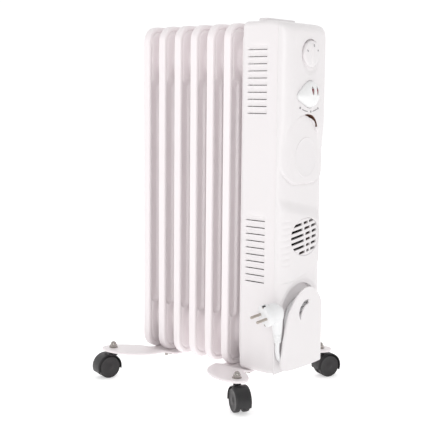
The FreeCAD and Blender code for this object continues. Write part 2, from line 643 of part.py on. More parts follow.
# ---- feet and casters ---------------------------------------------------------------------
def crescent(inset, low, high, shift=0.0):
    """Crescent-shaped blank of the rear foot, bulging towards +X, drawn in by inset."""
    s = STEM_REAR
    i = inset
    convex = [(s - 3, -143 + i), (30 - 0.3 * i, -134 + i), (58 - 0.8 * i, -104 + 0.6 * i),
              (68 - i, -60), (70 - i, 0)]
    concave = [(-41 + i, -119 - 0.3 * i), (-27 + 0.6 * i, -99 - 0.8 * i), (-4 + 0.3 * i, -85 - i * 0),
               (6 + i, -50), (8 + i, 0)]
    concave[2] = (-4 + 0.7 * i, -85 - 0.5 * i)
    tip = (s - 16 + 0.7 * i, -137 + 0.7 * i)

    def p(point, mirror=1):
        return (point[0] + shift, point[1] * mirror, low)

    half = [
        (p(concave[4]), p(concave[3]), p(concave[2])),
        (p(concave[2]), p(concave[1]), p(concave[0])),
        (p(concave[0]), p(tip), p(convex[0])),
        (p(convex[0]), p(convex[1]), p(convex[2])),
        (p(convex[2]), p(convex[3]), p(convex[4])),
    ]
    other = [
        (p(convex[4]), p(convex[3], -1), p(convex[2], -1)),
        (p(convex[2], -1), p(convex[1], -1), p(convex[0], -1)),
        (p(convex[0], -1), p(tip, -1), p(concave[0], -1)),
        (p(concave[0], -1), p(concave[1], -1), p(concave[2], -1)),
        (p(concave[2], -1), p(concave[3], -1), p(concave[4])),
    ]
    return outline_prism(half + other, (0, 0, high - low))


def bent_strip(top_offset, thickness):
    """Strip seen along X: low saddle under the fins, sloping up to the raised ears."""
    ear, saddle = EAR_TOP - top_offset, SADDLE_TOP - top_offset
    x0 = -80
    top = [(-160, ear), (-80, ear), (-50, saddle), (50, saddle), (80, ear), (160, ear)]
    points = top + [(y, z - thickness) for y, z in reversed(top)]
    wire = Part.makePolygon([V(x0, y, z) for y, z in points + points[:1]])
    return Part.Face(wire).extrude(V(200, 0, 0))


def feet():
    """Two pressed foot plates with turned-down edges, their U-bolts and nuts."""
    sheet = crescent(0, 20, 70).common(bent_strip(0, FOOT_SHEET))
    ring = crescent(0, 20, 70).cut(crescent(FOOT_SHEET, 19, 71)).common(bent_strip(0.5, FLANGE))
    plate = fuse([sheet, ring])
    stems = [rod(STEM_RADIUS + 0.2, (STEM_REAR, y, 30), (STEM_REAR, y, 70))
             for y in (-STEM_Y, STEM_Y)]
    plate = cut(plate, stems)
    mirror_x = (STEM_REAR + STEM_FRONT) / 2
    front = plate.mirror(V(mirror_x, 0, 0), X_AXIS)
    rear_bolt = FIN_WIDTH + (FIN_PITCH - FIN_WIDTH) / 2
    front_bolt = rear_bolt + 5 * FIN_PITCH
    bolt_y = HUB_RADIUS + 3.1
    bolts = []
    nuts = []
    for name, shape, x in (("rear_foot", plate, rear_bolt), ("front_foot", front, front_bolt)):
        holes = [rod(3.3, (x, y, 20), (x, y, 60)) for y in (-bolt_y, bolt_y)]
        keep(name, cut(shape, holes))
        arch = Part.makeTorus(bolt_y, 3.0, V(x, 0, HUB_LOW), X_AXIS)
        arch = arch.common(box(x - 5, x + 5, -40, 40, HUB_LOW, HUB_LOW + 40))
        legs = [rod(3.0, (x, y, 27), (x, y, HUB_LOW)) for y in (-bolt_y, bolt_y)]
        bolts.append(fuse([arch] + legs))
        for y in (-bolt_y, bolt_y):
            nut = fuse([
                rod(6, (x, y, SADDLE_TOP - FOOT_SHEET - 7), (x, y, SADDLE_TOP - FOOT_SHEET)),
                box(x - 13, x + 13, y - 1.2, y + 1.2, SADDLE_TOP - FOOT_SHEET - 12,
                    SADDLE_TOP - FOOT_SHEET - 2)])
            nuts.append(nut.cut(rod(3.0, (x, y, 20), (x, y, 60))))
    keep("u_bolts", Part.makeCompound(bolts))
    keep("wing_nuts", Part.makeCompound(nuts))


def hexagon(radius, x, y, low, high):
    points = [V(x + radius * math.cos(math.radians(a)), y + radius * math.sin(math.radians(a)), low)
              for a in range(0, 361, 60)]
    return Part.Face(Part.makePolygon(points)).extrude(V(0, 0, high - low))


def casters():
    """Four twin-wheel casters: threaded stem, hood with fender, axle and two dished wheels."""
    places = {
        "front_left": (STEM_FRONT, -STEM_Y, -31.5),
        "rear_left": (STEM_REAR, -STEM_Y, 252.5),
        "front_right": (STEM_FRONT, STEM_Y, 65.0),
        "rear_right": (STEM_REAR, STEM_Y, 107.5),
    }
    stems = []
    nuts = []
    for x, y, _ in places.values():
        stems.append(rod(STEM_RADIUS, (x, y, STEM_FOOT), (x, y, EAR_TOP + 8)))
        nut = fuse([
            hexagon(6.9, x, y, EAR_TOP, EAR_TOP + 5.5),
            Part.makeSphere(5.6, V(x, y, EAR_TOP + 5.5))])
        nut = nut.common(box(x - 9, x + 9, y - 9, y + 9, EAR_TOP, EAR_TOP + 12))
        nuts.append(nut.cut(rod(STEM_RADIUS, (x, y, STEM_FOOT), (x, y, EAR_TOP + 8))))
    keep("caster_stems", Part.makeCompound(stems))
    keep("acorn_nuts", Part.makeCompound(nuts))

    axle_x, axle_z = CASTER_TRAIL, WHEEL_RADIUS
    inner = HOOD_RADIUS - HOOD_SHEET

    def across(radius, half):
        return rod(radius, (axle_x, -half, axle_z), (axle_x, half, axle_z))
    web = across(HOOD_RADIUS - 1, 1.8)
    above = box(-30, 60, -20, 20, 15.5, 60)
    boss = rod(5.6, (0, 0, 33), (0, 0, EAR_TOP - FOOT_SHEET - 0.3)).cut(across(inner, 20))
    hood = fuse([
        fuse([across(HOOD_RADIUS, HOOD_HALF).cut(across(inner, HOOD_HALF)), web]).common(above),
        boss,
        box(-5.5, 6, -1.8, 1.8, 33, 43)])
    hood = cut(hood, [
        rod(STEM_RADIUS + RUNNING_FIT, (0, 0, 34), (0, 0, 60)),
        across(AXLE_RADIUS, 20)])
    axle = across(AXLE_RADIUS, WHEEL_FACE - 2.6)

    def wheel(sign):
        def at(y):
            return (axle_x, sign * y, axle_z)
        rim = tube(WHEEL_RADIUS, WHEEL_RADIUS - 3.0, at(2.3), at(WHEEL_FACE))
        face = rod(WHEEL_RADIUS, at(WHEEL_FACE - 2.0), at(WHEEL_FACE))
        hub = rod(5.5, at(2.3), at(WHEEL_FACE - 1.5))
        return fuse([rim, face, hub]).cut(
            rod(AXLE_RADIUS + RUNNING_FIT, at(0), at(WHEEL_FACE - 2.3)))

    for name, (x, y, heading) in places.items():
        for part, shape in (("hood", hood), ("axle", axle), ("wheel_a", wheel(-1)),
                            ("wheel_b", wheel(1))):
            placed = moved(turned(shape, heading), x, y)
            keep(f"caster_{name}_{part}", placed)


def build():
    fins()
    heating_element()
    case_parts()
    front_panel()
    vent_grille()
    controls()
    fan_parts()
    inner_parts()
    badge()
    wrap_parts()
    cord_parts()
    plug_parts()
    feet()
    casters()
    os.makedirs("parts", exist_ok=True)
    for name, shape in NODES.items():
        shape.translate(V(-CENTRE_X, 0, 0))
        shape.exportStep(f"parts/{name}.step")
    on_cord = ("cord_coil", "cord_tail", "plug_body", "plug_pins", "plug_earth_clips")
    whole = FreeCAD.BoundBox()
    for name, shape in NODES.items():
        if not shape.isValid():
            print("INVALID", name)
        if name not in on_cord:
            whole.add(shape.BoundBox)
    print(len(NODES), "nodes; box without cord",
          [round(v, 2) for v in (whole.XMin, whole.XMax, whole.YMin, whole.YMax,
                                 whole.ZMin, whole.ZMax)])


build()
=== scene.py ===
"""Looks of the oil filled radiator: detailed meshes, materials, floor, light and camera.

Lengths in the functions below are millimetres in the part's own frame: x = 0 at the first fin's
outer face, +X towards the control panel, y = 0 at the middle, z = 0 on the floor.
"""

import math

import bmesh
import bpy
import numpy as np
from mathutils import Matrix, Vector

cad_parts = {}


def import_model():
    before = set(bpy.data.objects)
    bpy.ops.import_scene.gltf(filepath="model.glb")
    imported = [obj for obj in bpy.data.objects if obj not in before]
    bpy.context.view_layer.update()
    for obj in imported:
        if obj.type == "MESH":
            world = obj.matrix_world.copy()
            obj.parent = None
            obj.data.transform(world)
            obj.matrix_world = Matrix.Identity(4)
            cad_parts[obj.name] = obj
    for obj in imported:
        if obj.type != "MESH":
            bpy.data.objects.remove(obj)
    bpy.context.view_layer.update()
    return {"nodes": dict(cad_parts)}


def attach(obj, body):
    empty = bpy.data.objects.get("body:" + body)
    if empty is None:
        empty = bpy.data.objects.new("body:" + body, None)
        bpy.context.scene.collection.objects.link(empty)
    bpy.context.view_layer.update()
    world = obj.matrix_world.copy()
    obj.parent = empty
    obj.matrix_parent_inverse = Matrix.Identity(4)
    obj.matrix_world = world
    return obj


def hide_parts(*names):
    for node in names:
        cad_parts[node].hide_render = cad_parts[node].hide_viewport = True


ORIGIN_X = 141.23         # where the frame's origin lies along the stack of fins
MM = 0.001

# camera: place, then azimuth, elevation and roll in degrees
CAMERA_PLACE = (1174.83, -1284.87, 502.99)
CAMERA_AIM = (39.509, 7.162, 0.517)
CAMERA_LENS, CAMERA_SENSOR = 78.69, 36.0

# studio in metres: lamps are name, place, target, width and watts
FLOOR_SIZE, FLOOR_STEPS, FLOOR_DROP = 14.0, 4, 0.0005
BACKDROP = (-0.55, 0.67, -0.5)    # the surroundings are brightest this way
BACKDROP_FADE = (-0.4, 0.4)
SURROUND_DIM, SURROUND_BRIGHT = 0.66, 1.06
LAMPS = (
    ("key", (1.5, -1.9, 0.75), (0.0, 0.0, 0.3), 1.0, 9),
    ("left", (-1.6, -1.6, 1.2), (0.1, 0.0, 0.3), 0.9, 2.5),
    ("top", (0.3, -0.3, 2.6), (0.0, 0.0, 0.3), 1.6, 3),
)

# fins
FIN_PITCH = 36.5
RIM_HALF = 7.15
RIM_ROUND = 3.0
FIN_HALF = 64.0
FIN_LOW, FIN_HIGH = 44.2, 625.0
FIN_CORNER = 28.0
FIN_EVEN = 150.0          # corners and ends reach up to here
FIN_COUNT = 6             # those in the open; the seventh stands inside the case
RIM_WIDTH = 6.4
LIP_START, LIP_END, LIP_DROP = 9.2, 12.5, 1.3
HEADER_FACE = 5.5
WEB_FACE = 1.5
POCKET_Y, POCKET_HALF = 46.0, 10.0
POCKET_LOW, POCKET_HIGH = 129.5, 526.0
POCKET_WALL = (-3.6, 0.8)
HUB_Z = (102.0, 567.0)
HUB_FOOT, HUB_TOP = 44.0, 25.0

# housing
CASE_BACK, CASE_FRONT = 219.5, 291.0
CASE_HALF = 63.0
CASE_LOW, CASE_HIGH = 47.2, 625.0
CASE_EDGE = 9.0
CASE_ROLL = 8.7
CASE_SHEET = 1.1
TAPER_FROM, TAPER = 274.0, 3.0
LOUVRE_FROM, LOUVRE_TO = 234.0, 272.0
LOUVRE_PITCH = 11.35
LOUVRE_FIRST = (476.9, 199.9)
LOUVRE_COUNT = 10
LOUVRE_GAP = 0.55
LOUVRE_DENT, DENT_DEPTH, DENT_SLOPE = 8.4, 2.1, 0.35
CAP_BACK, CAP_FRONT, CAP_HALF, CAP_CORNER = 240.0, 251.0, 36.0, 4.0

# control panel
PANEL_HALF = 61.5
SIDE_ROUND = 25.0
PANEL_LOW, PANEL_HIGH = 49.0, 622.0
CORNER_FRONT, CORNER_BACK = 31.0, 9.5
PANEL_SHEET = 2.5
TOP_ROUND = 16.0
CROWN, CROWN_HALF = 1.5, 36.5
CUT_FRONT = 330.0         # cutters reach out this far
BASE, BIB, CONTROL, VENT, PLATE = 305.0, 308.5, 313.0, 311.0, 318.0
RECESS_X, RECESS_R, RECESS_Z = 294.0, 54.0, 142.0
RECESS_FOOT = 7.4
JOINT_GROOVE = 1.0
LEDGE_Z = 150.0
BIB_LOW, BIB_FLAT, BIB_SPREAD, BIB_RISE = 363.0, 20.0, 41.5, 42.0
ARCH = ((-61, 448), (-56, 449.5), (-49, 454), (-42, 460.5), (-35, 466), (-28, 470.2),
        (-20, 473.4), (-12, 475.3), (-5, 476), (1, 475.2), (5, 473.6), (9.3, 470.4), (13.6, 466.8),
        (17.8, 462.2), (20.8, 458.4), (23.3, 455.0), (26, 451.2), (30, 448.2), (61, 448))
SLOT_Z, SLOT_OUTER, SLOT_WALL = 451.0, 24.3, 0.8
SLOT_START, SLOT_END, SLOT_THICK = -9, 79, 3.3
RIB_Z, RIB_PITCH, RIB_DEPTH = 283.5, 10.2, 0.9
SLANT = 0.14              # rise of the ribs and outlet slots towards +Y

# controls, outlet and plate
KNOB_X, KNOB_Z, BOWL_R = 307.6, 573.0, 24.4
RIDGE_HALF, RIDGE_FOOT, RIDGE_TOP = 17.5, 315.8, 317.2
MARK_X = 316.6
DOME_Z, DOME_R, DOME_TIP, DOME_RIM, DOME_RISE = 508.5, 21.8, 45.0, 312.2, 12.6
ROCKER_X, ROCKER_Y, ROCKER_Z, ROCKER_TILT = 311.0, 6.5, 514.0, 7.0
LEGEND_R, LEGEND_Z = 60.7, 541.2
LEGEND_MARKS = (          # first and last angle, half width
    (-117.0, -114.4, 1.5), (-109.7, -95.2, 0.7), (-88.6, -85.0, 1.6), (-82.0, -69.3, 0.7),
    (-66.9, -64.9, 1.5),
)
BADGE_Z, BADGE_HALF, BADGE_RISE = 406.0, 31.0, 33.0
GRILLE_Z, GRILLE_HALF, GRILLE_RISE, GRILLE_SHEET = 274.5, 40.6, 31.1, 2.9
BAR_HALF, SLOT_HALF, SLOT_CORNER = (1.9, 1.5), 2.3, 1.1
GRILLE_ROWS = (           # height, start, first bar, second bar, end
    (298.6, -36.0, -9.0, 7.0, 25.0), (289.2, -39.6, -7.0, 13.6, 31.0),
    (279.6, -40.0, -3.6, 15.6, 32.4), (270.0, -39.6, -2.4, 15.8, 32.4),
    (260.2, -34.5, -1.1, 13.6, 31.2), (250.6, -18.0, 0.4, 12.4, 28.6),
)

# cord store, cord and plug
PLATE_SHEET = 2.5
PLATE_OUTLINE = (         # height, half width
    (57.0, 52.6), (57.8, 55.0), (59.5, 56.4), (62, 57.0), (66, 57.2), (80, 56.4), (104, 54.9),
    (125, 52.6), (145, 49.6), (157, 46.0), (168, 39.5), (177, 31.5), (184, 22.0), (188.5, 13.0),
    (190.5, 6.0), (191.0, 0.3),
)
HOOK_Y, HOOK_Z, HOOK_R = 1.0, 144.5, 21.5
CORD_D = 7.4
CORE_HALF, CORE_STRAIGHT, CORE_Z, CORE_GAP = 18.3, 17.0, 112.5, 0.3
TURN_POINTS = 26
TAIL = [(305.4, -1.0, 58.4), (304.6, -22.0, 58.4), (301.0, -43.4, 66.0), (298.3, -61.4, 82.0),
        (305.6, -68.0, 107.6)]
TAIL_WAY, PIN_WAY = (-0.09, 0.19, -0.98), (-0.39, -0.87, -0.24)
PLUG_REACH, PLUG_FACE, PIN_SPREAD = 55.0, 25.0, 9.5
NOTCH_R, EARTH_R = 17.4, 15.9
BOOT_RIBS, RIB_STEP = 5, 3.2

# feet: the front one is the rear one mirrored in x
FOOT_TOP, FOOT_MIRROR = 52.5, 246.0
FOOT_POINTS, FOOT_SHEET, FOOT_TURN = 72, 1.6, 3.8

# casters: stem x, stem y, heading in degrees
CASTERS = {
    "front_left": (265.0, -122.0, -31.5),
    "rear_left": (-19.0, -122.0, 252.5),
    "front_right": (265.0, 122.0, 65.0),
    "rear_right": (-19.0, 122.0, 107.5),
}
TRAIL, WHEEL_R = 13.0, 20.0
HOOD_HALF, HOOD_R, HOOD_SHEET = 13.2, 23.4, 1.8
HOOD_START, HOOD_END, HOOD_STEPS = -22.0, 191.0, 48
WEB_HALF, WEB_R, WEB_LOW = 1.8, 22.0, 15.5


# ---- placing and meshing
def at(x, y, z):
    return Vector(((x - ORIGIN_X) * MM, y * MM, z * MM))


def new_object(name, points, faces, material, smooth=38):
    """A mesh object from points in millimetres, welded, facing outwards and smooth-shaded."""
    mesh = bpy.data.meshes.new(name)
    mesh.from_pydata([at(*p) for p in points], [], [tuple(f) for f in faces])
    tidy_mesh(mesh, smooth)
    obj = bpy.data.objects.new(name, mesh)
    bpy.context.scene.collection.objects.link(obj)
    mesh.materials.append(material)
    return obj


def tidy_mesh(mesh, smooth=38):
    """Welds the points, turns the faces outwards and shades them smooth up to an angle."""
    work = bmesh.new()
    work.from_mesh(mesh)
    bmesh.ops.remove_doubles(work, verts=work.verts, dist=0.00002)
    bmesh.ops.recalc_face_normals(work, faces=work.faces)
    work.to_mesh(mesh)
    work.free()
    mesh.shade_smooth()
    mesh.set_sharp_from_angle(angle=math.radians(smooth))


def settle(obj, smooth=38):
    """Replaces the object's mesh by what its modifiers make of it."""
    graph = bpy.context.evaluated_depsgraph_get()
    mesh = bpy.data.meshes.new_from_object(obj.evaluated_get(graph))
    obj.modifiers.clear()
    obj.data = mesh
    mesh.shade_smooth()
    mesh.set_sharp_from_angle(angle=math.radians(smooth))
    return obj


def carve(obj, cutters, smooth=38):
    """Takes the cutters' shapes out of the object."""
    for cutter in cutters:
        m = obj.modifiers.new("cut", "BOOLEAN")
        m.operation = "DIFFERENCE"
        m.object = cutter
        m.solver = "EXACT"
    settle(obj, smooth)
    for cutter in cutters:
        bpy.data.objects.remove(cutter)
    return obj


def soften(obj, width, segments, angle):
    """Bevels the edges that are sharper than an angle."""
    m = obj.modifiers.new("soften", "BEVEL")
    m.width = width * MM
    m.segments = segments
    m.limit_method = "ANGLE"
    m.angle_limit = math.radians(angle)
    m.harden_normals = False
    return settle(obj)


def thicken(obj, sheet, smooth):
    """Gives a surface the thickness of its sheet, inwards."""
    m = obj.modifiers.new("sheet", "SOLIDIFY")
    m.thickness = sheet * MM
    m.offset = -1
    return settle(obj, smooth)


def grid_faces(rows, columns, closed=False, skip=()):
    """Quads between rows of points; closed rows end where they start."""
    faces = []
    for r in range(rows - 1):
        for c in range(columns if closed else columns - 1):
            if (r, c) not in skip:
                d = (c + 1) % columns
                faces.append((r * columns + c, r * columns + d,
                              (r + 1) * columns + d, (r + 1) * columns + c))
    return faces


def sheet_faces(rows, columns):
    """Faces of a closed sheet: its front layer, its back layer and the rim between them."""
    shift = rows * columns
    front = grid_faces(rows, columns)
    back = [tuple(shift + i for i in reversed(face)) for face in front]
    edges = [(r * columns + c, (r + 1) * columns + c)
             for r in range(rows - 1) for c in (0, columns - 1)]
    edges += [(r * columns + c, r * columns + c + 1)
              for c in range(columns - 1) for r in (0, rows - 1)]
    return front + back + [(a, b, shift + b, shift + a) for a, b in edges]


def loft(rings):
    """Points and faces of a tube through closed rings that all have the same number of points."""
    n = len(rings[0])
    points = [p for ring in rings for p in ring]
    faces = grid_faces(len(rings), n, closed=True)
    faces.append(tuple(range(n))[::-1])
    faces.append(tuple(range((len(rings) - 1) * n, len(rings) * n)))
    return points, faces


def prism(name, outline, x0, x1, material):
    """Closed outline of (y, z) points drawn along X."""
    rings = [[(x, y, z) for y, z in outline] for x in (x0, x1)]
    return new_object(name, *loft(rings), material)


def lathe(name, profile, place, material, count=64, smooth=38):
    """Turns (height, radius) pairs about a local Z axis, then places them with a matrix in mm."""
    rings = []
    for height, radius in profile:
        ring = []
        for k in range(count):
            a = 2 * math.pi * k / count
            ring.append(tuple(place @ Vector((radius * math.cos(a), radius * math.sin(a), height))))
        rings.append(ring)
    return new_object(name, *loft(rings), material, smooth)


def frame_matrix(origin, z_axis, x_hint=(0, 0, 1)):
    """Matrix in mm whose local Z is z_axis."""
    z = Vector(z_axis).normalized()
    x = Vector(x_hint) - z * Vector(x_hint).dot(z)
    if x.length < 1e-6:
        x = Vector((1, 0, 0)) - z * z.x
    x.normalize()
    y = z.cross(x)
    m = Matrix((x, y, z)).transposed().to_4x4()
    m.translation = Vector(origin)
    return m


def join(objects, name):
    """Joins finished meshes into one object."""
    work = bmesh.new()
    materials = []
    for o in objects:
        start = len(work.faces)
        work.from_mesh(o.data)
        work.faces.ensure_lookup_table()
        for m in o.data.materials:
            if m not in materials:
                materials.append(m)
        index = materials.index(o.data.materials[0])
        for f in work.faces[start:]:
            f.material_index = index
    mesh = bpy.data.meshes.new(name)
    work.to_mesh(mesh)
    work.free()
    for m in materials:
        mesh.materials.append(m)
    obj = bpy.data.objects.new(name, mesh)
    bpy.context.scene.collection.objects.link(obj)
    for o in objects:
        bpy.data.objects.remove(o)
    return obj


def show(obj, body, slot, *nodes):
    """The object rides on a body and stands for these solid parts, which it hides; its slot is not
    used.
    """
    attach(obj, body)
    if nodes:
        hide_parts(*nodes)
    return obj


def smoothstep(edge0, edge1, value):
    """Soft step from 0 at edge0 to 1 at edge1, which may lie in either order."""
    t = np.clip((value - edge0) / (edge1 - edge0), 0, 1)
    return t * t * (3 - 2 * t)


def rounded_rectangle(half, low, high, corner, sides, ends, arc=8):
    """(y, z) outline; sides are z samples on the long sides and ends are y samples as shares."""
    top, bottom, flat = high - corner, low + corner, half - corner

    def corner_points(side, level, up, leaving):
        line = []
        for k in range(1, arc):
            a = math.pi / 2 * (k / arc if leaving else 1 - k / arc)
            line.append((side * (half - corner * (1 - math.cos(a))),
                         level + up * corner * math.sin(a)))
        return line

    outline = [(-half, z) for z in sides]
    outline += corner_points(-1, top, 1, True)
    outline += [(flat * share, high) for share in ends]
    outline += corner_points(1, top, 1, False)
    outline += [(half, z) for z in reversed(sides)]
    outline += corner_points(1, bottom, -1, True)
    outline += [(flat * share, low) for share in reversed(ends)]
    outline += corner_points(-1, bottom, -1, False)
    return outline


def crown(y):
    """How far the panel's middle falls back at y."""
    return CROWN * (y / CROWN_HALF) ** 2


# ---- materials
def finish(name, colour, second, rough, metal=0.0, scale=60.0, bump=0.0, coat=0.0, grain=900.0,
           glow=0.0):
    """Procedural finish: two close tones in soft clouds, uneven gloss and a fine surface grain."""
    m = bpy.data.materials.new(name)
    m.use_nodes = True
    nodes, links = m.node_tree.nodes, m.node_tree.links
    shader = nodes["Principled BSDF"]
    place = nodes.new("ShaderNodeTexCoord")
    clouds = nodes.new("ShaderNodeTexNoise")
    clouds.inputs["Scale"].default_value = scale
    clouds.inputs["Detail"].default_value = 3.0
    tone = nodes.new("ShaderNodeMix")
    tone.data_type = "RGBA"
    tone.inputs[6].default_value = (*colour, 1)
    tone.inputs[7].default_value = (*second, 1)
    gloss = nodes.new("ShaderNodeMapRange")
    gloss.inputs["To Min"].default_value = rough * 0.85
    gloss.inputs["To Max"].default_value = min(1.0, rough * 1.15)
    links.new(place.outputs["Object"], clouds.inputs["Vector"])
    links.new(clouds.outputs["Fac"], tone.inputs[0])
    links.new(tone.outputs[2], shader.inputs["Base Color"])
    links.new(clouds.outputs["Fac"], gloss.inputs["Value"])
    links.new(gloss.outputs["Result"], shader.inputs["Roughness"])
    shader.inputs["Metallic"].default_value = metal
    shader.inputs["Coat Weight"].default_value = coat
    shader.inputs["Coat Roughness"].default_value = 0.15
    shader.inputs["Emission Color"].default_value = (1, 1, 1, 1)
    shader.inputs["Emission Strength"].default_value = glow
    if bump:
        fine = nodes.new("ShaderNodeTexNoise")
        fine.inputs["Scale"].default_value = grain
        fine.inputs["Detail"].default_value = 2.0
        relief = nodes.new("ShaderNodeBump")
        relief.inputs["Strength"].default_value = bump
        relief.inputs["Distance"].default_value = 0.0002
        links.new(place.outputs["Object"], fine.inputs["Vector"])
        links.new(fine.outputs["Fac"], relief.inputs["Height"])
        links.new(relief.outputs["Normal"], shader.inputs["Normal"])
    return m


def all_finishes():
    """Two tones, then the roughness; the fine relief is there where bump is given."""
    return {
        "enamel": finish("white_enamel", (0.91, 0.85, 0.862), (0.93, 0.875, 0.887), 0.36,
                         scale=18, bump=0.05, coat=0.15, grain=420),
        "case": finish("case_enamel", (0.825, 0.79, 0.797), (0.845, 0.81, 0.817), 0.38,
                       scale=16, bump=0.05, coat=0.12, grain=420),
        "plastic": finish("white_plastic", (0.815, 0.785, 0.791), (0.835, 0.805, 0.811), 0.34,
                          scale=20, bump=0.03, coat=0.1, grain=1300),
        "dome": finish("dome_plastic", (0.85, 0.85, 0.85), (0.87, 0.87, 0.87), 0.25,
                       scale=30, bump=0.02, coat=0.2, grain=1300),
        "soft_white": finish("cord_white", (0.82, 0.82, 0.825), (0.85, 0.85, 0.855), 0.42,
                             scale=40, bump=0.05, grain=1500),
        "grey": finish("grey_plastic", (0.30, 0.29, 0.29), (0.35, 0.34, 0.34), 0.5,
                       scale=50, bump=0.05),
        # painted shade: the white plastic duct is coloured brown as if its wall lay in shadow
        # behind the outlet
        "duct": finish("duct_painted_shade", (0.20, 0.12, 0.10), (0.26, 0.16, 0.13), 0.55,
                       scale=50, bump=0.05),
        # painted shade: dark brown that stands for the shade inside the finger slot, used on its
        # floor and outer wall
        "slot_shade": finish("slot_painted_shade", (0.06, 0.022, 0.012), (0.19, 0.085, 0.05), 0.5, scale=90,
                        bump=0.05),
        "dark": finish("control_body", (0.035, 0.035, 0.037), (0.05, 0.05, 0.053), 0.55,
                       scale=70, bump=0.05),
        "ink": finish("legend_ink", (0.30, 0.29, 0.30), (0.36, 0.35, 0.36), 0.6, scale=200),
        "badge": finish("badge_plastic", (0.81, 0.78, 0.788), (0.825, 0.795, 0.803), 0.3,
                        scale=30, bump=0.02),
        "red": finish("red_plastic", (0.17, 0.012, 0.022), (0.24, 0.02, 0.03), 0.25, scale=200,
                      coat=0.4),
        "steel": finish("bright_steel", (0.36, 0.33, 0.31), (0.46, 0.43, 0.41), 0.2, metal=1.0,
                        scale=120, bump=0.04),
        "pin": finish("pin_metal", (0.42, 0.37, 0.33), (0.52, 0.47, 0.43), 0.3, metal=0.9,
                      scale=150, bump=0.03),
        "black": finish("caster_black", (0.012, 0.011, 0.012), (0.02, 0.019, 0.02), 0.4,
                        scale=90, bump=0.12, grain=1600),
        "wheel": finish("wheel_black", (0.013, 0.011, 0.012), (0.02, 0.018, 0.019), 0.46,
                        scale=70, bump=0.12, grain=1600),
        "floor": finish("studio_floor", (0.90, 0.90, 0.90), (0.91, 0.91, 0.91), 0.9, scale=3,
                        glow=0.46),
    }


# ---- camera, floor and light
def camera():
    azimuth, elevation, roll = (math.radians(a) for a in CAMERA_AIM)
    back = Vector((math.sin(azimuth) * math.cos(elevation),
                   -math.cos(azimuth) * math.cos(elevation), math.sin(elevation)))
    level = Vector((math.cos(azimuth), math.sin(azimuth), 0))
    above = back.cross(level)
    right = level * math.cos(roll) + above * math.sin(roll)
    up = above * math.cos(roll) - level * math.sin(roll)
    data = bpy.data.cameras.new("camera")
    data.lens = CAMERA_LENS
    data.sensor_width = CAMERA_SENSOR
    data.dof.use_dof = False
    obj = bpy.data.objects.new("camera", data)
    place = Matrix((right, up, back)).transposed().to_4x4()
    place.translation = at(*CAMERA_PLACE)
    obj.matrix_world = place
    bpy.context.scene.collection.objects.link(obj)
    bpy.context.scene.camera = obj


def studio(mat):
    """Pale floor, white surroundings that dim towards the front and top, and three soft lamps."""
    spots = [-FLOOR_SIZE / 2 + FLOOR_SIZE * k / FLOOR_STEPS for k in range(FLOOR_STEPS + 1)]
    points = [(x, y, -FLOOR_DROP) for x in spots for y in spots]
    mesh = bpy.data.meshes.new("floor")
    mesh.from_pydata(points, [], grid_faces(len(spots), len(spots)))
    floor = bpy.data.objects.new("floor", mesh)
    mesh.materials.append(mat["floor"])
    bpy.context.scene.collection.objects.link(floor)
    world = bpy.data.worlds.new("studio")
    bpy.context.scene.world = world
    world.use_nodes = True
    nodes, links = world.node_tree.nodes, world.node_tree.links
    way = nodes.new("ShaderNodeTexCoord")
    facing = nodes.new("ShaderNodeVectorMath")
    facing.operation = "DOT_PRODUCT"
    facing.inputs[1].default_value = BACKDROP
    dimmer = nodes.new("ShaderNodeMapRange")
    dimmer.inputs["From Min"].default_value = BACKDROP_FADE[0]
    dimmer.inputs["From Max"].default_value = BACKDROP_FADE[1]
    dimmer.inputs["To Min"].default_value = SURROUND_DIM
    dimmer.inputs["To Max"].default_value = SURROUND_BRIGHT
    nodes["Background"].inputs["Color"].default_value = (1.0, 1.0, 1.0, 1.0)
    links.new(way.outputs["Generated"], facing.inputs[0])
    links.new(facing.outputs["Value"], dimmer.inputs["Value"])
    links.new(dimmer.outputs["Result"], nodes["Background"].inputs["Strength"])
    for name, place, target, width, power in LAMPS:
        light = bpy.data.lights.new(name, "AREA")
        light.size = width
        light.energy = power
        lamp = bpy.data.objects.new(name, light)
        direction = Vector(target) - Vector(place)
        lamp.rotation_euler = direction.to_track_quat("-Z", "Y").to_euler()
        lamp.location = place
        bpy.context.scene.collection.objects.link(lamp)
    bpy.context.scene.view_settings.view_transform = "Standard"


# ---- oil fins
def fin_face(y, z, inset):
    """How far the fin's surface stands from its middle plane at inset mm inside its outline."""
    fall = (HEADER_FACE - LIP_DROP - RIM_HALF) * smoothstep(RIM_WIDTH, LIP_START, inset)
    height = np.where(inset < RIM_WIDTH, RIM_HALF, RIM_HALF + fall)
    height = height + LIP_DROP * smoothstep(LIP_START, LIP_END, inset)
    middle = (POCKET_LOW + POCKET_HIGH) / 2
    reach = (POCKET_HIGH - POCKET_LOW) / 2 - POCKET_HALF
    away = np.hypot(np.abs(y) - POCKET_Y, np.maximum(np.abs(z - middle) - reach, 0)) - POCKET_HALF
    pocket = WEB_FACE + (HEADER_FACE - WEB_FACE) * smoothstep(*POCKET_WALL, away)
    height = np.minimum(height, np.maximum(pocket, height * (away > POCKET_WALL[1])))
    for hub in HUB_Z:
        cone = smoothstep(HUB_FOOT, HUB_TOP, np.hypot(y, z - hub))
        height = height + (FIN_PITCH / 2 - HEADER_FACE) * cone
    return height


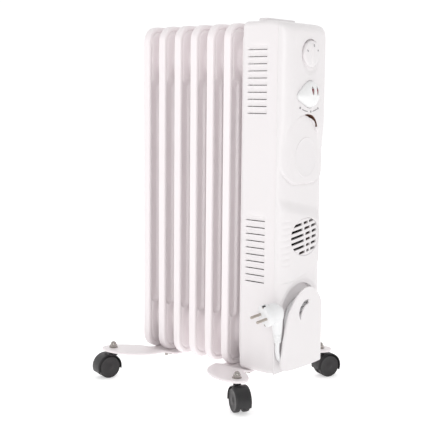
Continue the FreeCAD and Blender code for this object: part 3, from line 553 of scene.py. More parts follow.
def fins(mat):
    outer = [(0.0, 0.0), (0.0, RIM_HALF - RIM_ROUND)]
    for k in range(1, 7):
        a = math.pi / 2 * k / 6
        outer.append((RIM_ROUND * (1 - math.cos(a)), RIM_HALF - RIM_ROUND * (1 - math.sin(a))))
    insets = [4.6, 6.4, 7.0, 7.6, 8.2, 8.8, 9.4, 10.2, 11.2, 12.4, 14, 16.5, 19.5, 22, 24, 25.5,
              26.5, 27.5, 28.5, 29.5, 31, 33, 36, 39, 42, 46, 52, 58, 63.9]
    start, whole = FIN_LOW + FIN_CORNER, FIN_LOW + FIN_HIGH
    low = [start, 80, 88, 95, 101, 106, 109.5] + list(np.arange(111.5, 135, 1.6))
    low += [140, FIN_EVEN]
    sides = low + list(np.linspace(175, 475, 13)) + [whole - z for z in reversed(low)]
    ends = [k / 6 for k in range(-6, 7)]

    def ring(inset):
        corner = max(FIN_CORNER - inset, 0.01)
        keep = 1 - max(inset - FIN_CORNER, 0.0) / (FIN_EVEN - start)
        moved = []
        for z in sides:
            even = min(max(z, FIN_EVEN), whole - FIN_EVEN)
            moved.append(even + (z - even) * keep)
        return rounded_rectangle(FIN_HALF - inset, FIN_LOW + inset, FIN_HIGH - inset, corner,
                                 moved, ends)

    def face_ring(inset, side):
        yz = np.array(ring(inset))
        x = fin_face(yz[:, 0], yz[:, 1], inset)
        return [(RIM_HALF + side * h, y, z) for h, (y, z) in zip(x, yz)]

    def rim_ring(inset, x):
        return [(x, y, z) for y, z in ring(inset)]

    rings = [face_ring(inset, -1) for inset in reversed(insets)]
    rings += [rim_ring(inset, RIM_HALF - x) for inset, x in reversed(outer)]
    rings += [rim_ring(inset, RIM_HALF + x) for inset, x in outer[1:]]
    rings += [face_ring(inset, 1) for inset in insets]
    first = new_object("fin_skin_1", *loft(rings), mat["enamel"], smooth=60)
    for index in range(1, FIN_COUNT + 1):
        fin = first if index == 1 else bpy.data.objects.new(f"fin_skin_{index}", first.data)
        if index > 1:
            fin.location.x = (index - 1) * FIN_PITCH * MM
            bpy.context.scene.collection.objects.link(fin)
        show(fin, "root", "white_enamel", f"fin_{index}")


# ---- steel case
def case(mat):
    stations = [CASE_BACK, 219.9, 220.8, 222.2, 224.2, 226.4, 228.2, 231, 233, LOUVRE_FROM, 236]
    stations += list(np.linspace(241, 265, 6))
    stations += [270, LOUVRE_TO, 273, 274, 277, 280, 283, 286, 288.5, 290.2, CASE_FRONT]
    slots = [first + k * LOUVRE_PITCH for first in LOUVRE_FIRST
             for k in range(LOUVRE_COUNT)]
    around = [-1.5, -1.0, -LOUVRE_GAP, LOUVRE_GAP, 1.2, 2.4, 3.8, 5.2, 6.4, 7.2, 7.8, 8.4]
    sides = sorted([round(z + d, 3) for z in slots for d in around]
                   + [56.2, 80, 110, 140, 170, 190, 320, 350, 380, 410, 440, 465, 595, 605, 616])
    ends = [k / 5 for k in range(-5, 6)]

    def inset(x):
        rolled = CASE_BACK + CASE_ROLL - x
        if rolled > 0:
            return CASE_ROLL * (1 - math.sqrt(max(0.0, 1 - (rolled / CASE_ROLL) ** 2)))
        return TAPER * (max(0.0, x - TAPER_FROM) / (CASE_FRONT - TAPER_FROM)) ** 2

    rings = []
    skip = set()
    for x in stations:
        i = inset(x)
        ring = rounded_rectangle(CASE_HALF - i, CASE_LOW + i, CASE_HIGH - i, CASE_EDGE,
                                 [min(max(z, CASE_LOW + i + CASE_EDGE), CASE_HIGH - i - CASE_EDGE)
                                  for z in sides], ends, arc=7)
        along = smoothstep(LOUVRE_FROM - 1.5, LOUVRE_FROM + 2, x) \
            * smoothstep(LOUVRE_TO + 1.5, LOUVRE_TO - 2, x)
        line = []
        for y, z in ring:
            if abs(y) > CASE_HALF - 0.01:
                d = min((z - s for s in slots if z - s > -3.0), default=99)
                dent = DENT_DEPTH * float(smoothstep(LOUVRE_DENT, LOUVRE_DENT - 2.2, d)) \
                    * (1 - DENT_SLOPE * max(0.0, d) / LOUVRE_DENT) * float(along) if d > 0 else 0.0
                y -= math.copysign(dent, y)
            line.append((x, y, z))
        rings.append(line)
    for r in range(len(stations) - 1):
        if LOUVRE_FROM <= stations[r] and stations[r + 1] <= LOUVRE_TO:
            for c, (x, y, z) in enumerate(rings[r]):
                nxt = rings[r][(c + 1) % len(rings[r])]
                mid = (z + nxt[2]) / 2
                if abs(y) > 60 and any(abs(mid - s) < 0.4 for s in slots):
                    skip.add((r, c))
    points = [p for ring in rings for p in ring]
    obj = new_object("case_skin", points, grid_faces(len(rings), len(rings[0]), True, skip),
                     mat["case"], smooth=32)
    thicken(obj, CASE_SHEET, 32)
    show(obj, "root", "white_enamel", "case_shell")


def top_cap(mat):
    outline = []
    for cx, cy, start in ((CAP_BACK, -CAP_HALF, 180), (CAP_FRONT, -CAP_HALF, 270),
                          (CAP_FRONT, CAP_HALF, 0), (CAP_BACK, CAP_HALF, 90)):
        for k in range(7):
            a = math.radians(start + 90 * k / 6)
            outline.append((cx + CAP_CORNER * math.cos(a), cy + CAP_CORNER * math.sin(a)))
    middle = (CAP_BACK + CAP_FRONT) / 2
    reach_x, reach_y = CAP_FRONT - middle + CAP_CORNER, CAP_HALF + CAP_CORNER
    rings = []
    for z, shrink in ((624.6, 0), (629.6, 0), (630.4, 0.35), (630.85, 0.9), (631.0, 1.6)):
        rings.append([(middle + (x - middle) * (1 - shrink / reach_x),
                       y * (1 - shrink / reach_y), z) for x, y in outline])
    top = new_object("top_cap_skin", *loft(rings), mat["plastic"])
    show(top, "root", "white_plastic", "top_cap")


# ---- moulded front panel
def side_width(z, corner):
    """Half width at height z of an outline whose top corners have this radius."""
    over = min(max(z - (PANEL_HIGH - corner), 0), corner - 0.001)
    return PANEL_HALF - corner + math.sqrt(corner ** 2 - over ** 2)


def front_depth(y, z):
    """X of the panel's front before its sides are rounded, with all its raised areas."""
    # bib with a round lower edge and a shallow groove along it
    bend = np.clip((np.abs(y) - BIB_FLAT) / BIB_SPREAD, 0, 1)
    low = BIB_LOW + BIB_RISE * (1 - np.sqrt(1 - bend ** 2))
    bib = smoothstep(-1.3, 1.6, z - low)
    groove = 0.9 * smoothstep(-4.0, -1.6, z - low) * (1 - bib)
    depth = BASE + (BIB - BASE) * bib - groove
    # control block above the arch, whose edge fades out towards both sides
    arch = np.interp(y, *zip(*ARCH))
    fade = np.maximum(smoothstep(27, 37, y), smoothstep(-46, -55, y))
    block = smoothstep(-0.6 - 34 * fade, 1.0 + 20 * fade, z - arch)
    groove = smoothstep(-3.0, -0.8, z - arch) * (1 - block) * (1 - fade)
    depth = depth + (CONTROL - BIB) * block - groove
    # swelling round the outlet, with slanting ribs on its left
    low = 201.5 + 16.5 * np.clip((y + 45) / 66, 0, 2) ** 1.45
    high = 334 - 24 * np.clip((y + 62) / 110, 0, 1)
    swell = smoothstep(-2.0, 3.0, z - low) * smoothstep(10, -14, z - high)
    right = smoothstep(58, 40, y)
    ribs = 0.5 + 0.5 * np.cos((z - SLANT * (y + 45) - RIB_Z) * 2 * math.pi / RIB_PITCH)
    zone = smoothstep(-38, -46, y) * smoothstep(226, 232, z) * smoothstep(308, 302, z)
    depth = depth + ((VENT - BASE) * swell - RIB_DEPTH * ribs ** 3 * zone) * right
    # hollows round the knob and round the cord plate
    away = np.hypot(y - 2, np.where(z > KNOB_Z, z - KNOB_Z, np.maximum(KNOB_Z - 8 - z, 0)))
    depth = depth - 1.7 * smoothstep(27, 18, away) * smoothstep(600, 560, z)
    away = np.hypot(y, np.maximum(z - RECESS_Z, 0))
    return depth - 2.2 * smoothstep(63, 55, away) * (z > LEDGE_Z)


def panel_point(side, z, column):
    """Column is an angle on the rounded side, or a share across the crowned middle."""
    shoulder = side_width(z, CORNER_FRONT) - SIDE_ROUND
    reach = side_width(z, CORNER_BACK) - shoulder
    kind, value = column
    if kind == "middle":
        y, fall = shoulder * value, 1.0
    else:
        y, fall = side * (shoulder + reach * math.sin(value)), math.cos(value)
        if fall < 0.01:
            y -= side * JOINT_GROOVE
    if z < LEDGE_Z:
        return (CASE_FRONT + (RECESS_X - CASE_FRONT) * min(1.0, fall * 4), y, z)
    depth = float(front_depth(np.array([y]), np.array([float(z)]))[0])
    fallen = min(CROWN, crown(y)) if kind == "middle" else CROWN
    top = np.clip((z - PANEL_HIGH + TOP_ROUND) / TOP_ROUND, 0, 0.9999)
    reach = (depth - fallen - CASE_FRONT) * (0.30 + 0.70 * math.sqrt(1 - top ** 2))
    return (CASE_FRONT + reach * fall, y, z)


def panel(mat):
    columns = [(-1, ("side", math.pi / 2 * (1 - k / 24))) for k in range(24)]
    columns += [(0, ("middle", -1 + k / 42)) for k in range(85)]
    columns += [(1, ("side", math.pi / 2 * (k / 24))) for k in range(1, 25)]
    zs = [PANEL_LOW, 49.6, 51, 70, 90, 110, 130, 149.95, 150.05]
    zs += list(np.arange(151.2, 200, 1.3)) + list(np.arange(200, 345, 0.9))
    zs += list(np.arange(345.5, 500, 0.9)) + list(np.arange(500, PANEL_HIGH - TOP_ROUND, 1.3))
    zs += [PANEL_HIGH - TOP_ROUND + TOP_ROUND * math.sin(math.pi / 2 * k / 14) for k in range(15)]
    outer, inner = [], []
    for z in zs:
        row = [panel_point(side, min(z, PANEL_HIGH - 0.001), column) for side, column in columns]
        outer.append(row)
        solid = z < 199 or z > 617
        behind = []
        for x, y, _ in row:
            back = CASE_FRONT if solid else min(x - PANEL_SHEET, BASE - 3.0)
            behind.append((max(CASE_FRONT, back) - 0.6, y * 0.955, z))
        inner.append(behind)
    points = [p for row in outer + inner for p in row]
    faces = sheet_faces(len(zs), len(columns))
    skin = new_object("front_panel_skin", points, faces, mat["plastic"], smooth=34)
    cutters = [
        tilted_bowl(mat), arch_cutter(mat), slot_cutter(mat),
        prism("outlet", ellipse(0, GRILLE_Z, 41, 31.5), 286, CUT_FRONT, mat["plastic"]),
        prism("dome_seat", egg_outline(0.7), 310.6, CUT_FRONT, mat["plastic"]),
    ]
    carve(skin, cutters, smooth=34)
    show(skin, "root", "white_plastic", "front_panel")


def slot_painted_shade(mat):
    """Floor and outer wall of the finger slot, coloured dark brown as painted shade inside the
    slot.
    """
    # both pieces carry the dark brown painted shade of the slot
    floor = prism("slot_floor", ring_piece(-16, 84, 26.5, 16.5), 301.2, 302.6, mat["slot_shade"])
    strip = ring_piece(SLOT_START - 2, SLOT_END + 1, SLOT_OUTER + SLOT_WALL + 0.3, SLOT_OUTER)
    wall = prism("slot_wall", strip, 302.2, 312.0, mat["slot_shade"])
    show(join([floor, wall], "slot_painted_shade"), "root", "control_body")


def ellipse(cy, cz, half, rise, count=96, tilt=0.0):
    outline = []
    for k in range(count):
        a = 2 * math.pi * k / count
        y, z = half * math.cos(a), rise * math.sin(a)
        outline.append((cy + y * math.cos(tilt) - z * math.sin(tilt),
                        cz + y * math.sin(tilt) + z * math.cos(tilt)))
    return outline


def egg_outline(grow=0.0, count=120, scale=1.0):
    """The switch cluster's outline: round, drawn out to a soft tip towards -Y."""
    tangent = math.acos(DOME_R / DOME_TIP)
    outline = []
    for k in range(count):
        a = 2 * math.pi * k / count
        away = abs((a - math.radians(187) + math.pi) % (2 * math.pi) - math.pi)
        away = math.hypot(away, 0.16)
        r = DOME_R / math.cos(max(0.0, tangent - away)) * scale + grow
        outline.append((r * math.cos(a), DOME_Z + r * math.sin(a)))
    return outline


def tilted_bowl(mat):
    """Bowl around the knob, deepest on its upper left and fading out on its lower right."""
    circle = ellipse(0, KNOB_Z, BOWL_R, BOWL_R)
    floor = [(306.8 + 0.03 * (y + 24) - 0.10 * (z - KNOB_Z - 24), y, z) for y, z in circle]
    mouth = [(CUT_FRONT, y, z) for y, z in circle]
    return new_object("bowl", *loft([floor, mouth]), mat["plastic"])


def arch_cutter(mat):
    """Arched recess that the cord is wound in."""
    low = math.asin(RECESS_FOOT / RECESS_R)
    outline = [(RECESS_R * math.cos(a), RECESS_Z + RECESS_R * math.sin(a))
               for a in np.linspace(low, math.pi - low, 80)]
    return prism("recess", outline, RECESS_X + 0.02, CUT_FRONT, mat["plastic"])


def ring_piece(start, end, outer, inner):
    """(y, z) outline of part of a ring around the finger slot's middle, angles from +Z."""
    line = [(outer, a) for a in np.radians(np.linspace(start, end, 30))]
    line += [(inner, a) for a in np.radians(np.linspace(end, start, 30))]
    return [(r * math.sin(a), SLOT_Z + r * math.cos(a)) for r, a in line]


def slot_cutter(mat):
    """Finger slot: part of a ring, thin at its ends, with room for its outer wall, which is
    coloured dark brown as painted shade.
    """
    outer, inner = [], []
    for k, a in enumerate(np.radians(np.linspace(SLOT_START, SLOT_END, 40))):
        thick = SLOT_THICK * math.sin(math.pi * (0.04 + 0.92 * k / 39)) ** 0.6
        for line, radius in ((outer, SLOT_OUTER + SLOT_WALL), (inner, SLOT_OUTER - thick)):
            line.append((radius * math.sin(a), SLOT_Z + radius * math.cos(a)))
    return prism("finger_slot", outer + inner[::-1], 298, CUT_FRONT, mat["plastic"])


# ---- controls and outlet
def knob_parts(mat):
    """Thermostat knob with its grip ridge, shaft and marks."""
    axis = frame_matrix((KNOB_X, 0, KNOB_Z), (1, 0, 0))
    knob = lathe("knob_face", [(0, 19.5), (0, 21.2), (0.8, 21.5), (6.6, 21.5), (7.8, 21.2),
                               (8.8, 20.4), (9.4, 19.0), (9.7, 15.0), (9.9, 8.0), (9.95, 0.5)],
                 axis, mat["plastic"], count=96, smooth=50)
    ridge = []
    for s in np.linspace(-1, 1, 25):
        half = 3.6 * math.sqrt(max(0.0, 1 - abs(s) ** 3)) + 0.25
        z = KNOB_Z + RIDGE_HALF * s
        top = RIDGE_TOP + 1.9 * math.sqrt(max(0.0, 1 - abs(s) ** 2.5))
        ridge.append([(RIDGE_FOOT, -half - 2.2, z), (317.3, -half - 1.2, z),
                      (top - 0.3, -half * 0.8, z),
                      (top, 0, z), (top - 0.3, half * 0.8, z), (317.3, half + 1.2, z),
                      (RIDGE_FOOT, half + 2.2, z)])
    grip = new_object("knob_ridge", *loft(ridge), mat["plastic"], smooth=70)
    shaft = lathe("knob_shaft", [(-26, 3.0), (0.5, 3.0)], axis, mat["plastic"], count=24)
    knob = join([knob, grip, shaft], "thermostat_knob_skin")
    knob.data.shade_smooth()
    show(knob, "knob", "white_plastic", "thermostat_knob")
    marks = []
    for y, z, half, rise, lean, top in ((-14.6, 577.6, 1.0, 2.2, 0.6, 317.72),
                                        (1.2, 586.4, 0.9, 2.4, 0.1, 319.3),
                                        (14.4, 579.2, 1.1, 1.5, 0.0, 317.72)):
        marks.append(prism("mark", ellipse(y, z, half, rise, 24, lean), MARK_X, top,
                           mat["ink"]))
    show(join(marks, "knob_marks"), "knob", "grey_plastic")


def switches(mat):
    """Domed cluster with two windows, and the rockers in them."""
    rings = []
    for k in range(17):
        t = math.pi / 2 * k / 16
        scale = math.cos(t) if k < 16 else 0.004
        height = DOME_RISE * math.sin(t) ** 0.92
        rings.append([(DOME_RIM + height, y, z) for y, z in egg_outline(0, scale=scale)])
    rings.insert(0, [(308.0, y, z) for y, z in egg_outline(0)])
    dome = new_object("switch_dome_skin", *loft(rings), mat["dome"], smooth=70)
    windows = [prism("window", ellipse(y, ROCKER_Z, 2.75, 7.2, 32), 300, CUT_FRONT, mat["dome"])
               for y in (-ROCKER_Y, ROCKER_Y)]
    carve(dome, windows, smooth=50)
    show(dome, "root", "white_plastic", "switch_bezel")
    for name, y in (("left", -ROCKER_Y), ("right", ROCKER_Y)):
        rings = []
        for x, grow in ((309, 0), (322.8, 0), (323.7, -0.25), (324.1, -0.8)):
            edge = ellipse(y, ROCKER_Z, 2.0 + grow, 4.9 + grow, 32)
            rings.append([(x, yy, zz) for yy, zz in edge])
        cap = new_object(f"rocker_{name}_skin", *loft(rings), mat["red"], smooth=50)
        turn = Matrix.Rotation(math.radians(ROCKER_TILT), 4, "Y")
        pivot = at(ROCKER_X, y, ROCKER_Z)
        cap.data.transform(Matrix.Translation(pivot) @ turn @ Matrix.Translation(-pivot))
        show(cap, f"rocker_{name}", "red_plastic", f"rocker_{name}")


def legend(mat):
    """Printed arc of dashes and dots under the cluster."""
    marks = []
    for start, end, half in LEGEND_MARKS:
        line = [(LEGEND_R + half, a) for a in np.radians(np.linspace(start, end, 10))]
        line += [(LEGEND_R - half, a) for a in np.radians(np.linspace(end, start, 10))]
        outline = [(r * math.cos(a), LEGEND_Z + r * math.sin(a)) for r, a in line]
        marks.append(prism("legend", outline, 311.0, 313.12, mat["ink"]))
    show(join(marks, "switch_legend"), "root", "grey_plastic")


def badge(mat):
    rings = []
    for share, lift in ((1.0, -1.5), (1.0, 0.35), (0.985, 0.6), (0.955, 0.6), (0.93, 0.25),
                        (0.90, 0.15), (0.5, 0.15), (0.01, 0.15)):
        rings.append([(BIB - crown(y) + lift, y, z)
                      for y, z in ellipse(0, BADGE_Z, BADGE_HALF * share, BADGE_RISE * share)])
    obj = new_object("badge_skin", *loft(rings), mat["badge"], smooth=60)
    show(obj, "root", "white_plastic", "badge_plate")


def grille(mat):
    """Outlet insert: slots that rise to the right, parted by two leaning bars."""
    rings = []
    for share, drop in ((0.05, GRILLE_SHEET), (0.6, GRILLE_SHEET), (1.0, GRILLE_SHEET),
                        (1.0, 0.4), (0.985, 0.05), (0.6, 0.0), (0.05, 0.0)):
        rings.append([(VENT - drop - crown(y), y, z)
                      for y, z in ellipse(0, GRILLE_Z, GRILLE_HALF * share, GRILLE_RISE * share)])
    obj = new_object("vent_grille_skin", *loft(rings), mat["plastic"], smooth=34)
    slots = []
    wide, slim = BAR_HALF
    for level, start, first_bar, second_bar, end in GRILLE_ROWS:
        for y0, y1 in ((start, first_bar - wide), (first_bar + wide, second_bar - slim),
                       (second_bar + slim, end)):
            slots.append(slot_bar(y0, y1, level, mat))
    carve(obj, slots, smooth=34)
    show(obj, "root", "white_plastic", "vent_grille")


def slot_bar(y0, y1, level, mat):
    """Slot with small corner radii between y0 and y1 that rises by 8 degrees towards +Y."""
    right, left, high = y1 - SLOT_CORNER, y0 + SLOT_CORNER, SLOT_HALF - SLOT_CORNER
    outline = []
    for cy, cz, start in ((right, high, 0), (left, high, 90), (left, -high, 180),
                          (right, -high, 270)):
        for k in range(5):
            a = math.radians(start + 90 * k / 4)
            y = cy + SLOT_CORNER * math.cos(a)
            outline.append((y, level + SLANT * y + cz + SLOT_CORNER * math.sin(a)))
    return prism("slot", outline, 296, CUT_FRONT, mat["plastic"])


# ---- cord store
def plate_half(z):
    """Half width of the arched plate at height z."""
    return float(np.interp(z, *zip(*PLATE_OUTLINE)))


def plate_depth(y):
    """X of the plate's front; it is crowned and turns back at its sides."""
    ay = abs(y)
    if ay <= CROWN_HALF:
        return PLATE - crown(ay)
    e = min((ay - CROWN_HALF) / SIDE_ROUND, 0.999)
    return CASE_FRONT + (PLATE - CROWN - CASE_FRONT) * math.sqrt(1 - e ** 2)


def wrap_plate(mat):
    zs = [57.0, 57.3, 57.8, 58.6, 59.5, 60.7, 62, 64, 66] + list(np.linspace(70, 140, 29))
    zs += [143, 146, 149, 152, 155, 158, 161, 164, 167, 170, 173, 176, 178.5, 181, 183.5, 185.5,
           187.2, 188.7, 189.8, 190.5, 190.9, 191.0]
    shares = np.sin(np.linspace(-math.pi / 2, math.pi / 2, 61))
    points = []
    for layer in (0.0, PLATE_SHEET):
        for z in zs:
            for s in shares:
                y = s * plate_half(z)
                points.append((plate_depth(y) - layer, y, z))
    faces = sheet_faces(len(zs), len(shares))
    obj = new_object("wrap_plate_skin", points, faces, mat["plastic"], smooth=34)
    carve(obj, [hook_cutter(mat)], smooth=34)
    soften(obj, 0.7, 3, 50)
    show(obj, "root", "white_plastic", "wrap_plate")


def hook_cutter(mat):
    """Hook-shaped slot: an arc that narrows towards its lower end."""
    outer, inner = [], []
    for k, a in enumerate(np.radians(np.linspace(84, 197, 34))):
        share = k / 33
        thick = 0.6 + 4.3 * math.sin(math.pi * min(1.0, 0.22 + 0.55 * share)) ** 0.8
        thick *= 1 - 0.8 * max(0.0, share - 0.72) / 0.28
        for line, r in ((outer, HOOK_R + thick), (inner, HOOK_R - thick)):
            line.append((HOOK_Y + r * math.cos(a), HOOK_Z + r * math.sin(a)))
    return prism("hook", outer + inner[::-1], 300, CUT_FRONT, mat["plastic"])


def turn(r0, r1, x0, x1):
    """One ring of the winding, from its foot, that ends at another radius or depth."""
    line = []
    for k in range(TURN_POINTS):
        t = k / TURN_POINTS
        a = -math.pi / 2 + 2 * math.pi * t
        r = float(r0 + (r1 - r0) * smoothstep(0.55, 1.0, t))
        x = float(x0 + (x1 - x0) * smoothstep(0.75, 1.0, t))
        straight = CORE_STRAIGHT if math.sin(a) > 0 else -CORE_STRAIGHT
        if abs(math.sin(a)) < 0.12:
            straight = CORE_STRAIGHT * math.sin(a) / 0.12
        line.append((x, r * math.cos(a), CORE_Z + straight + r * math.sin(a)))
    return line


def winding():
    """The wound cord's line, from the foot of the outer back ring to that of the front one."""
    back, front = (RECESS_X + 0.4 + CORD_D * share for share in (0.5, 1.5))
    radii = [CORE_HALF + CORE_GAP + CORD_D * (k + 0.5) for k in (2, 1, 0, 0, 1, 2, 2)]
    depths = [back] * 3 + [front] * 4
    points = []
    for k in range(6):
        points += turn(radii[k], radii[k + 1], depths[k], depths[k + 1])
    return points


def cord(mat):
    curve = bpy.data.curves.new("cord", "CURVE")
    curve.dimensions = "3D"
    curve.bevel_depth = CORD_D / 2 * MM
    curve.bevel_resolution = 6
    curve.resolution_u = 8
    curve.use_fill_caps = True
    spline = curve.splines.new("NURBS")
    route = winding() + TAIL
    spline.points.add(len(route) - 1)
    for p, place in zip(spline.points, route):
        p.co = (*at(*place), 1)
    spline.order_u = 3
    spline.use_endpoint_u = True
    curve.materials.append(mat["soft_white"])
    obj = bpy.data.objects.new("cord_skin", curve)
    bpy.context.scene.collection.objects.link(obj)
    show(obj, "root", "cord_white", "cord_tail", "cord_coil")
    return obj, at(*route[0])


def plug(mat):
    """Angled plug: round pin face, block that rounds into a ribbed boot, pins, dark earth slots."""
    end = Vector(TAIL[-1])
    tail = Vector(TAIL_WAY).normalized()
    pins = Vector(PIN_WAY).normalized()
    across = tail * 0.05 - tail.cross(pins)
    across = (across - pins * across.dot(pins)).normalized()
    upright = pins.cross(across)
    face = end - tail * PLUG_REACH + pins * PLUG_FACE
    disc = lathe("plug_head", [(-33.5, 0.5), (-33.2, 4.0), (-32.2, 8.0), (-30, 11.4), (-27, 13.6),
                               (-23, 15.2), (-17, 16.3), (-11.4, 17.0), (-10.2, 18.0), (-8.8, 18.5),
                               (-1.6, 18.5), (-0.5, 18.1), (0, 17.2), (0, 0.5)],
                 frame_matrix(face, pins, across), mat["soft_white"], count=72, smooth=50)
    notches, liners = [], []
    for sign in (-1, 1):
        spot = face + upright * sign * NOTCH_R
        notches.append(lathe("notch", [(-5.0, 3.1), (2, 3.1)], frame_matrix(spot, pins),
                             mat["soft_white"], count=24))
        liners.append(lathe("liner", [(-5.2, 0.3), (-5.2, 2.9), (-0.8, 2.9), (-0.8, 0.3)],
                            frame_matrix(face + upright * sign * EARTH_R, pins), mat["dark"],
                            count=20))
    carve(disc, notches, smooth=40)
    profile = [(0.0, 0.5), (0.0, 4.8), (0.5, 5.4), (2.0, 5.6)]
    for k in range(BOOT_RIBS):
        z = RIB_STEP * (k + 1)
        r = 5.8 + k * 0.4
        profile += [(z, r), (z + 0.4, r - 0.6), (z + 1.3, r - 0.6), (z + 1.7, r + 0.1)]
    profile += [(21, 7.9), (30, 8.7), (38, 9.3), (44, 10.6), (50, 11.6), (58, 11.0), (64, 7.5),
                (65.5, 0.5)]
    boot = lathe("plug_boot", profile, frame_matrix(end, -tail, pins), mat["soft_white"], count=48,
                 smooth=50)
    body = join([disc, boot], "plug_skin")
    show(body, "root", "cord_white", "plug_body")
    slots = show(join(liners, "plug_earth_slots"), "root", "control_body")
    shanks = []
    for sign in (-1, 1):
        spot = face + across * sign * PIN_SPREAD
        shanks.append(lathe("pin", [(0.0, 0.3), (0.0, 2.3), (17.0, 2.38), (18.2, 2.1), (18.8, 1.4),
                                    (19.0, 0.3)], frame_matrix(spot, pins), mat["pin"], count=28))
    shanks = join(shanks, "plug_pins_skin")
    show(shanks, "root", "pin_metal", "plug_pins")
    return [body, slots, shanks]


# ---- feet, nuts and casters
def arc_points(a, m, b, count):
    """Points on the circle through three points, from a to b."""
    a, m, b = (np.array(p, float) for p in (a, m, b))
    d = 2 * (a[0] * (m[1] - b[1]) + m[0] * (b[1] - a[1]) + b[0] * (a[1] - m[1]))
    ux = ((a @ a) * (m[1] - b[1]) + (m @ m) * (b[1] - a[1]) + (b @ b) * (a[1] - m[1])) / d
    uy = ((a @ a) * (b[0] - m[0]) + (m @ m) * (a[0] - b[0]) + (b @ b) * (m[0] - a[0])) / d
    c = np.array((ux, uy))
    r = np.linalg.norm(a - c)
    t0, tm, t1 = (math.atan2(*(p - c)[::-1]) for p in (a, m, b))
    while tm < t0:
        tm += 2 * math.pi
    while t1 < tm:
        t1 += 2 * math.pi
    if t1 - t0 > 2 * math.pi:
        t1 -= 2 * math.pi
        while t1 > t0:
            t1 -= 2 * math.pi
    return [tuple(c + r * np.array((math.cos(t), math.sin(t))))
            for t in np.linspace(t0, t1, count)]


def spread(points, count):
    """Evenly spaced points along a line of points."""
    p = np.array(points)
    gone = np.concatenate([[0], np.cumsum(np.linalg.norm(np.diff(p, axis=0), axis=1))])
    want = np.linspace(0, gone[-1], count)
    return np.stack([np.interp(want, gone, p[:, k]) for k in (0, 1)], axis=1)


def foot_height(y):
    """Top of the foot plate, which rises from under the fins to the casters."""
    return float(np.interp(abs(y), [0, 48, 54, 76, 82, 200], [44.2, 44.2, 45.0, 51.6, 52.5, 52.5]))


def feet(mat):
    """Crescent plate with a rolled edge; the front foot is the rear one's mirror image."""
    outer = arc_points((70, 0), (68, -60), (58, -104), 40) + arc_points(
        (58, -104), (30, -132), (-22, -141.4), 40)[1:]
    inner = arc_points((8, 0), (6, -50), (-4, -85), 40) + arc_points(
        (-4, -85), (-26, -100), (-38.5, -119), 40)[1:]
    tip = arc_points((-22, -141.4), (-33.5, -135.4), (-38.5, -119), 21)
    outer = spread(outer + tip[1:11], FOOT_POINTS)
    inner = spread(inner + tip[:9:-1][1:], FOOT_POINTS)
    edge = [0.0, 0.35, 0.9, 1.7, 2.6]
    drop = [2.6, 1.6, 0.9, 0.3, 0.0]
    for name, flip in (("rear_foot", False), ("front_foot", True)):
        rows = []
        for side in (1, -1):
            order = range(FOOT_POINTS - 1, 0, -1) if side == 1 else range(FOOT_POINTS)
            for k in order:
                o, i = Vector(outer[k]), Vector(inner[k])
                wide = max((i - o).length, 0.02)
                step = min(1.0, wide / 12)
                shares = [e * step / wide for e in edge]
                shares += list(np.linspace(shares[-1], 1 - shares[-1], 8))[1:-1]
                shares += [1 - e * step / wide for e in reversed(edge)]
                falls = drop + [0] * 6 + drop[::-1]
                row = []
                for s, f in zip(shares, falls):
                    p = o.lerp(i, s)
                    y = p.y * side
                    row.append((p.x, y, foot_height(y) - f))
                first, last = row[0], row[-1]
                row.insert(0, (*first[:2], foot_height(first[1]) - FOOT_TURN))
                row.append((*last[:2], foot_height(last[1]) - FOOT_TURN))
                rows.append(row)
        points = [p for row in rows for p in row]
        if flip:
            points = [(FOOT_MIRROR - x, y, z) for x, y, z in points]
        obj = new_object(f"{name}_skin", points, grid_faces(len(rows), len(rows[0])),
                         mat["enamel"], smooth=50)
        thicken(obj, FOOT_SHEET, 50)
        show(obj, "root", "white_enamel", name)


def acorn_nuts(mat):
    nuts = []
    for x, y, _ in CASTERS.values():
        place = frame_matrix((x, y, FOOT_TOP), (0, 0, 1), (1, 0, 0))
        hexagon = lathe("nut", [(0, 0.5), (0, 6.3), (0.5, 6.9), (4.6, 6.9), (5.3, 6.2), (5.5, 5.6)],
                        place, mat["steel"], count=6, smooth=20)
        dome = lathe("dome", [(4.0, 5.3), (6.3, 5.3), (8.2, 4.7), (9.8, 3.4), (10.8, 1.7),
                              (11.1, 0.2)], place, mat["steel"], count=32, smooth=60)
        washer = lathe("washer", [(0.0, 0.5), (0.0, 8.0), (0.5, 8.2), (0.9, 8.0), (0.9, 0.5)],
                       place, mat["steel"], count=40)
        nuts += [hexagon, dome, washer]
    show(join(nuts, "acorn_nuts_skin"), "root", "bright_steel", "acorn_nuts")


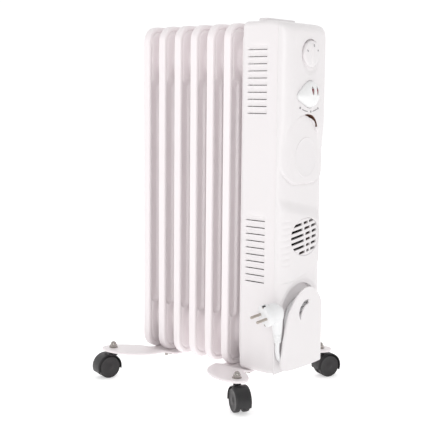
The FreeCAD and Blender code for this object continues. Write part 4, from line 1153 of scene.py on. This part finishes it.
def caster(name, mat):
    x, y, heading = CASTERS[name]
    turn = Matrix.Rotation(math.radians(heading), 4, "Z")
    place = Matrix.Translation((x, y, 0)) @ turn
    body = f"caster_{name}"

    def put(points):
        return [tuple(place @ Vector(p)) for p in points]

    edge = [(0, -1.9), (0.25, -0.9), (1.1, -0.15), (2.4, 0.0)]
    under = [(1.2, -HOOD_SHEET - 0.5), (2.5, -HOOD_SHEET)]
    section = [(-HOOD_HALF + w, HOOD_R + r) for w, r in edge] + [(0, HOOD_R)]
    section += [(HOOD_HALF - w, HOOD_R + r) for w, r in reversed(edge)]
    section += [(HOOD_HALF - w, HOOD_R + r) for w, r in under]
    section += [(-HOOD_HALF + w, HOOD_R + r) for w, r in reversed(under)]
    rings = []
    for k in range(HOOD_STEPS + 1):
        a = math.radians(HOOD_START + (HOOD_END - HOOD_START) * k / HOOD_STEPS)
        rings.append(put([(TRAIL + r * math.cos(a), w, WHEEL_R + r * math.sin(a))
                          for w, r in section]))
    fender = new_object(f"{body}_fender", *loft(rings), mat["black"], smooth=40)
    boss = lathe(f"{body}_boss", [(33.5, 5.5), (49.4, 5.5), (50.0, 5.1), (50.15, 4.2)],
                 place @ frame_matrix((0, 0, 0), (0, 0, 1), (1, 0, 0)), mat["black"], count=40)
    neck = []
    for z, wide, long in ((38.5, 6.6, 9.5), (42.6, 6.4, 8.0), (44.6, 6.0, 6.6), (45.6, 5.4, 5.6)):
        neck.append(put([(long * math.cos(a) + (1.5 if z < 44 else 0.5), wide * math.sin(a), z)
                         for a in np.linspace(0, 2 * math.pi, 33)[:-1]]))
    saddle = new_object(f"{body}_saddle", *loft(neck), mat["black"], smooth=50)
    web = lathe(f"{body}_web", [(-WEB_HALF, 1.0), (-WEB_HALF, WEB_R), (WEB_HALF, WEB_R),
                                (WEB_HALF, 1.0)],
                place @ frame_matrix((TRAIL, 0, WHEEL_R), (0, 1, 0)), mat["black"], count=64)
    block = prism("below", [(-40, -20), (40, -20), (40, WEB_LOW), (-40, WEB_LOW)], -200, 500,
                  mat["black"])
    block.data.transform(Matrix.Translation(at(0, y, 0) - at(0, 0, 0)))
    carve(web, [block])
    hood = join([fender, boss, saddle, web], f"{body}_hood_skin")
    hood.data.shade_smooth()
    hood.data.set_sharp_from_angle(angle=math.radians(42))
    show(hood, body, "caster_black", f"{body}_hood")
    for letter, sign in (("a", -1), ("b", 1)):
        axis = place @ frame_matrix((TRAIL, 0, WHEEL_R), (0, sign, 0))
        profile = [(3.8, 16.8), (3.8, 19.0), (4.3, 19.7), (5.2, 20.0), (10.2, 20.0), (11.3, 19.75),
                   (12.1, 19.1), (12.45, 18.2), (12.45, 17.2), (12.15, 16.8), (12.15, 4.2),
                   (12.4, 3.8), (12.6, 3.2), (12.6, 0.3), (10.6, 0.3), (10.6, 16.8)]
        wheel = lathe(f"wheel_{name}_{letter}_skin", profile + profile[:1], axis, mat["wheel"],
                      count=72)
        show(wheel, f"wheel_{name}_{letter}", "caster_black", f"caster_{name}_wheel_{letter}")


# ---- inner pieces that show as they are
def dress_nodes(frame, mat):
    """Gives every solid piece that still shows its procedural finish."""
    finishes = {
        "fin_7": "enamel", "hub_collars": "enamel", "hub_caps": "enamel", "filler_plug": "steel",
        "heating_element": "steel", "element_flange": "steel", "heat_shield": "steel",
        "thermostat_body": "dark", "switch_block": "dark", "fan_motor": "steel",
        # fan_duct takes the brown painted shade of the outlet's interior
        "fan_wheel": "dark", "fan_duct": "duct", "fan_heater_grid": "dark",
        "thermal_cutout": "dark", "terminal_block": "grey", "cord_clamp": "grey",
        "wrap_post": "plastic", "plug_earth_clips": "pin", "u_bolts": "steel",
        "wing_nuts": "steel", "caster_stems": "steel",
    }
    for name, node in frame["nodes"].items():
        key = finishes.get(name)
        if key is None:
            key = "steel" if name.endswith("_axle") else "plastic"
        node.data.materials.clear()
        node.data.materials.append(mat[key])
        node.data.shade_smooth()
        node.data.set_sharp_from_angle(angle=math.radians(35))


def main():
    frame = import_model()
    camera()
    mat = all_finishes()
    studio(mat)
    dress_nodes(frame, mat)
    cord_obj, start = cord(mat)
    on_cord = plug(mat)
    fins(mat)
    case(mat)
    top_cap(mat)
    panel(mat)
    slot_painted_shade(mat)
    knob_parts(mat)
    switches(mat)
    legend(mat)
    badge(mat)
    grille(mat)
    wrap_plate(mat)
    feet(mat)
    acorn_nuts(mat)
    for name in CASTERS:
        caster(name, mat)


main()
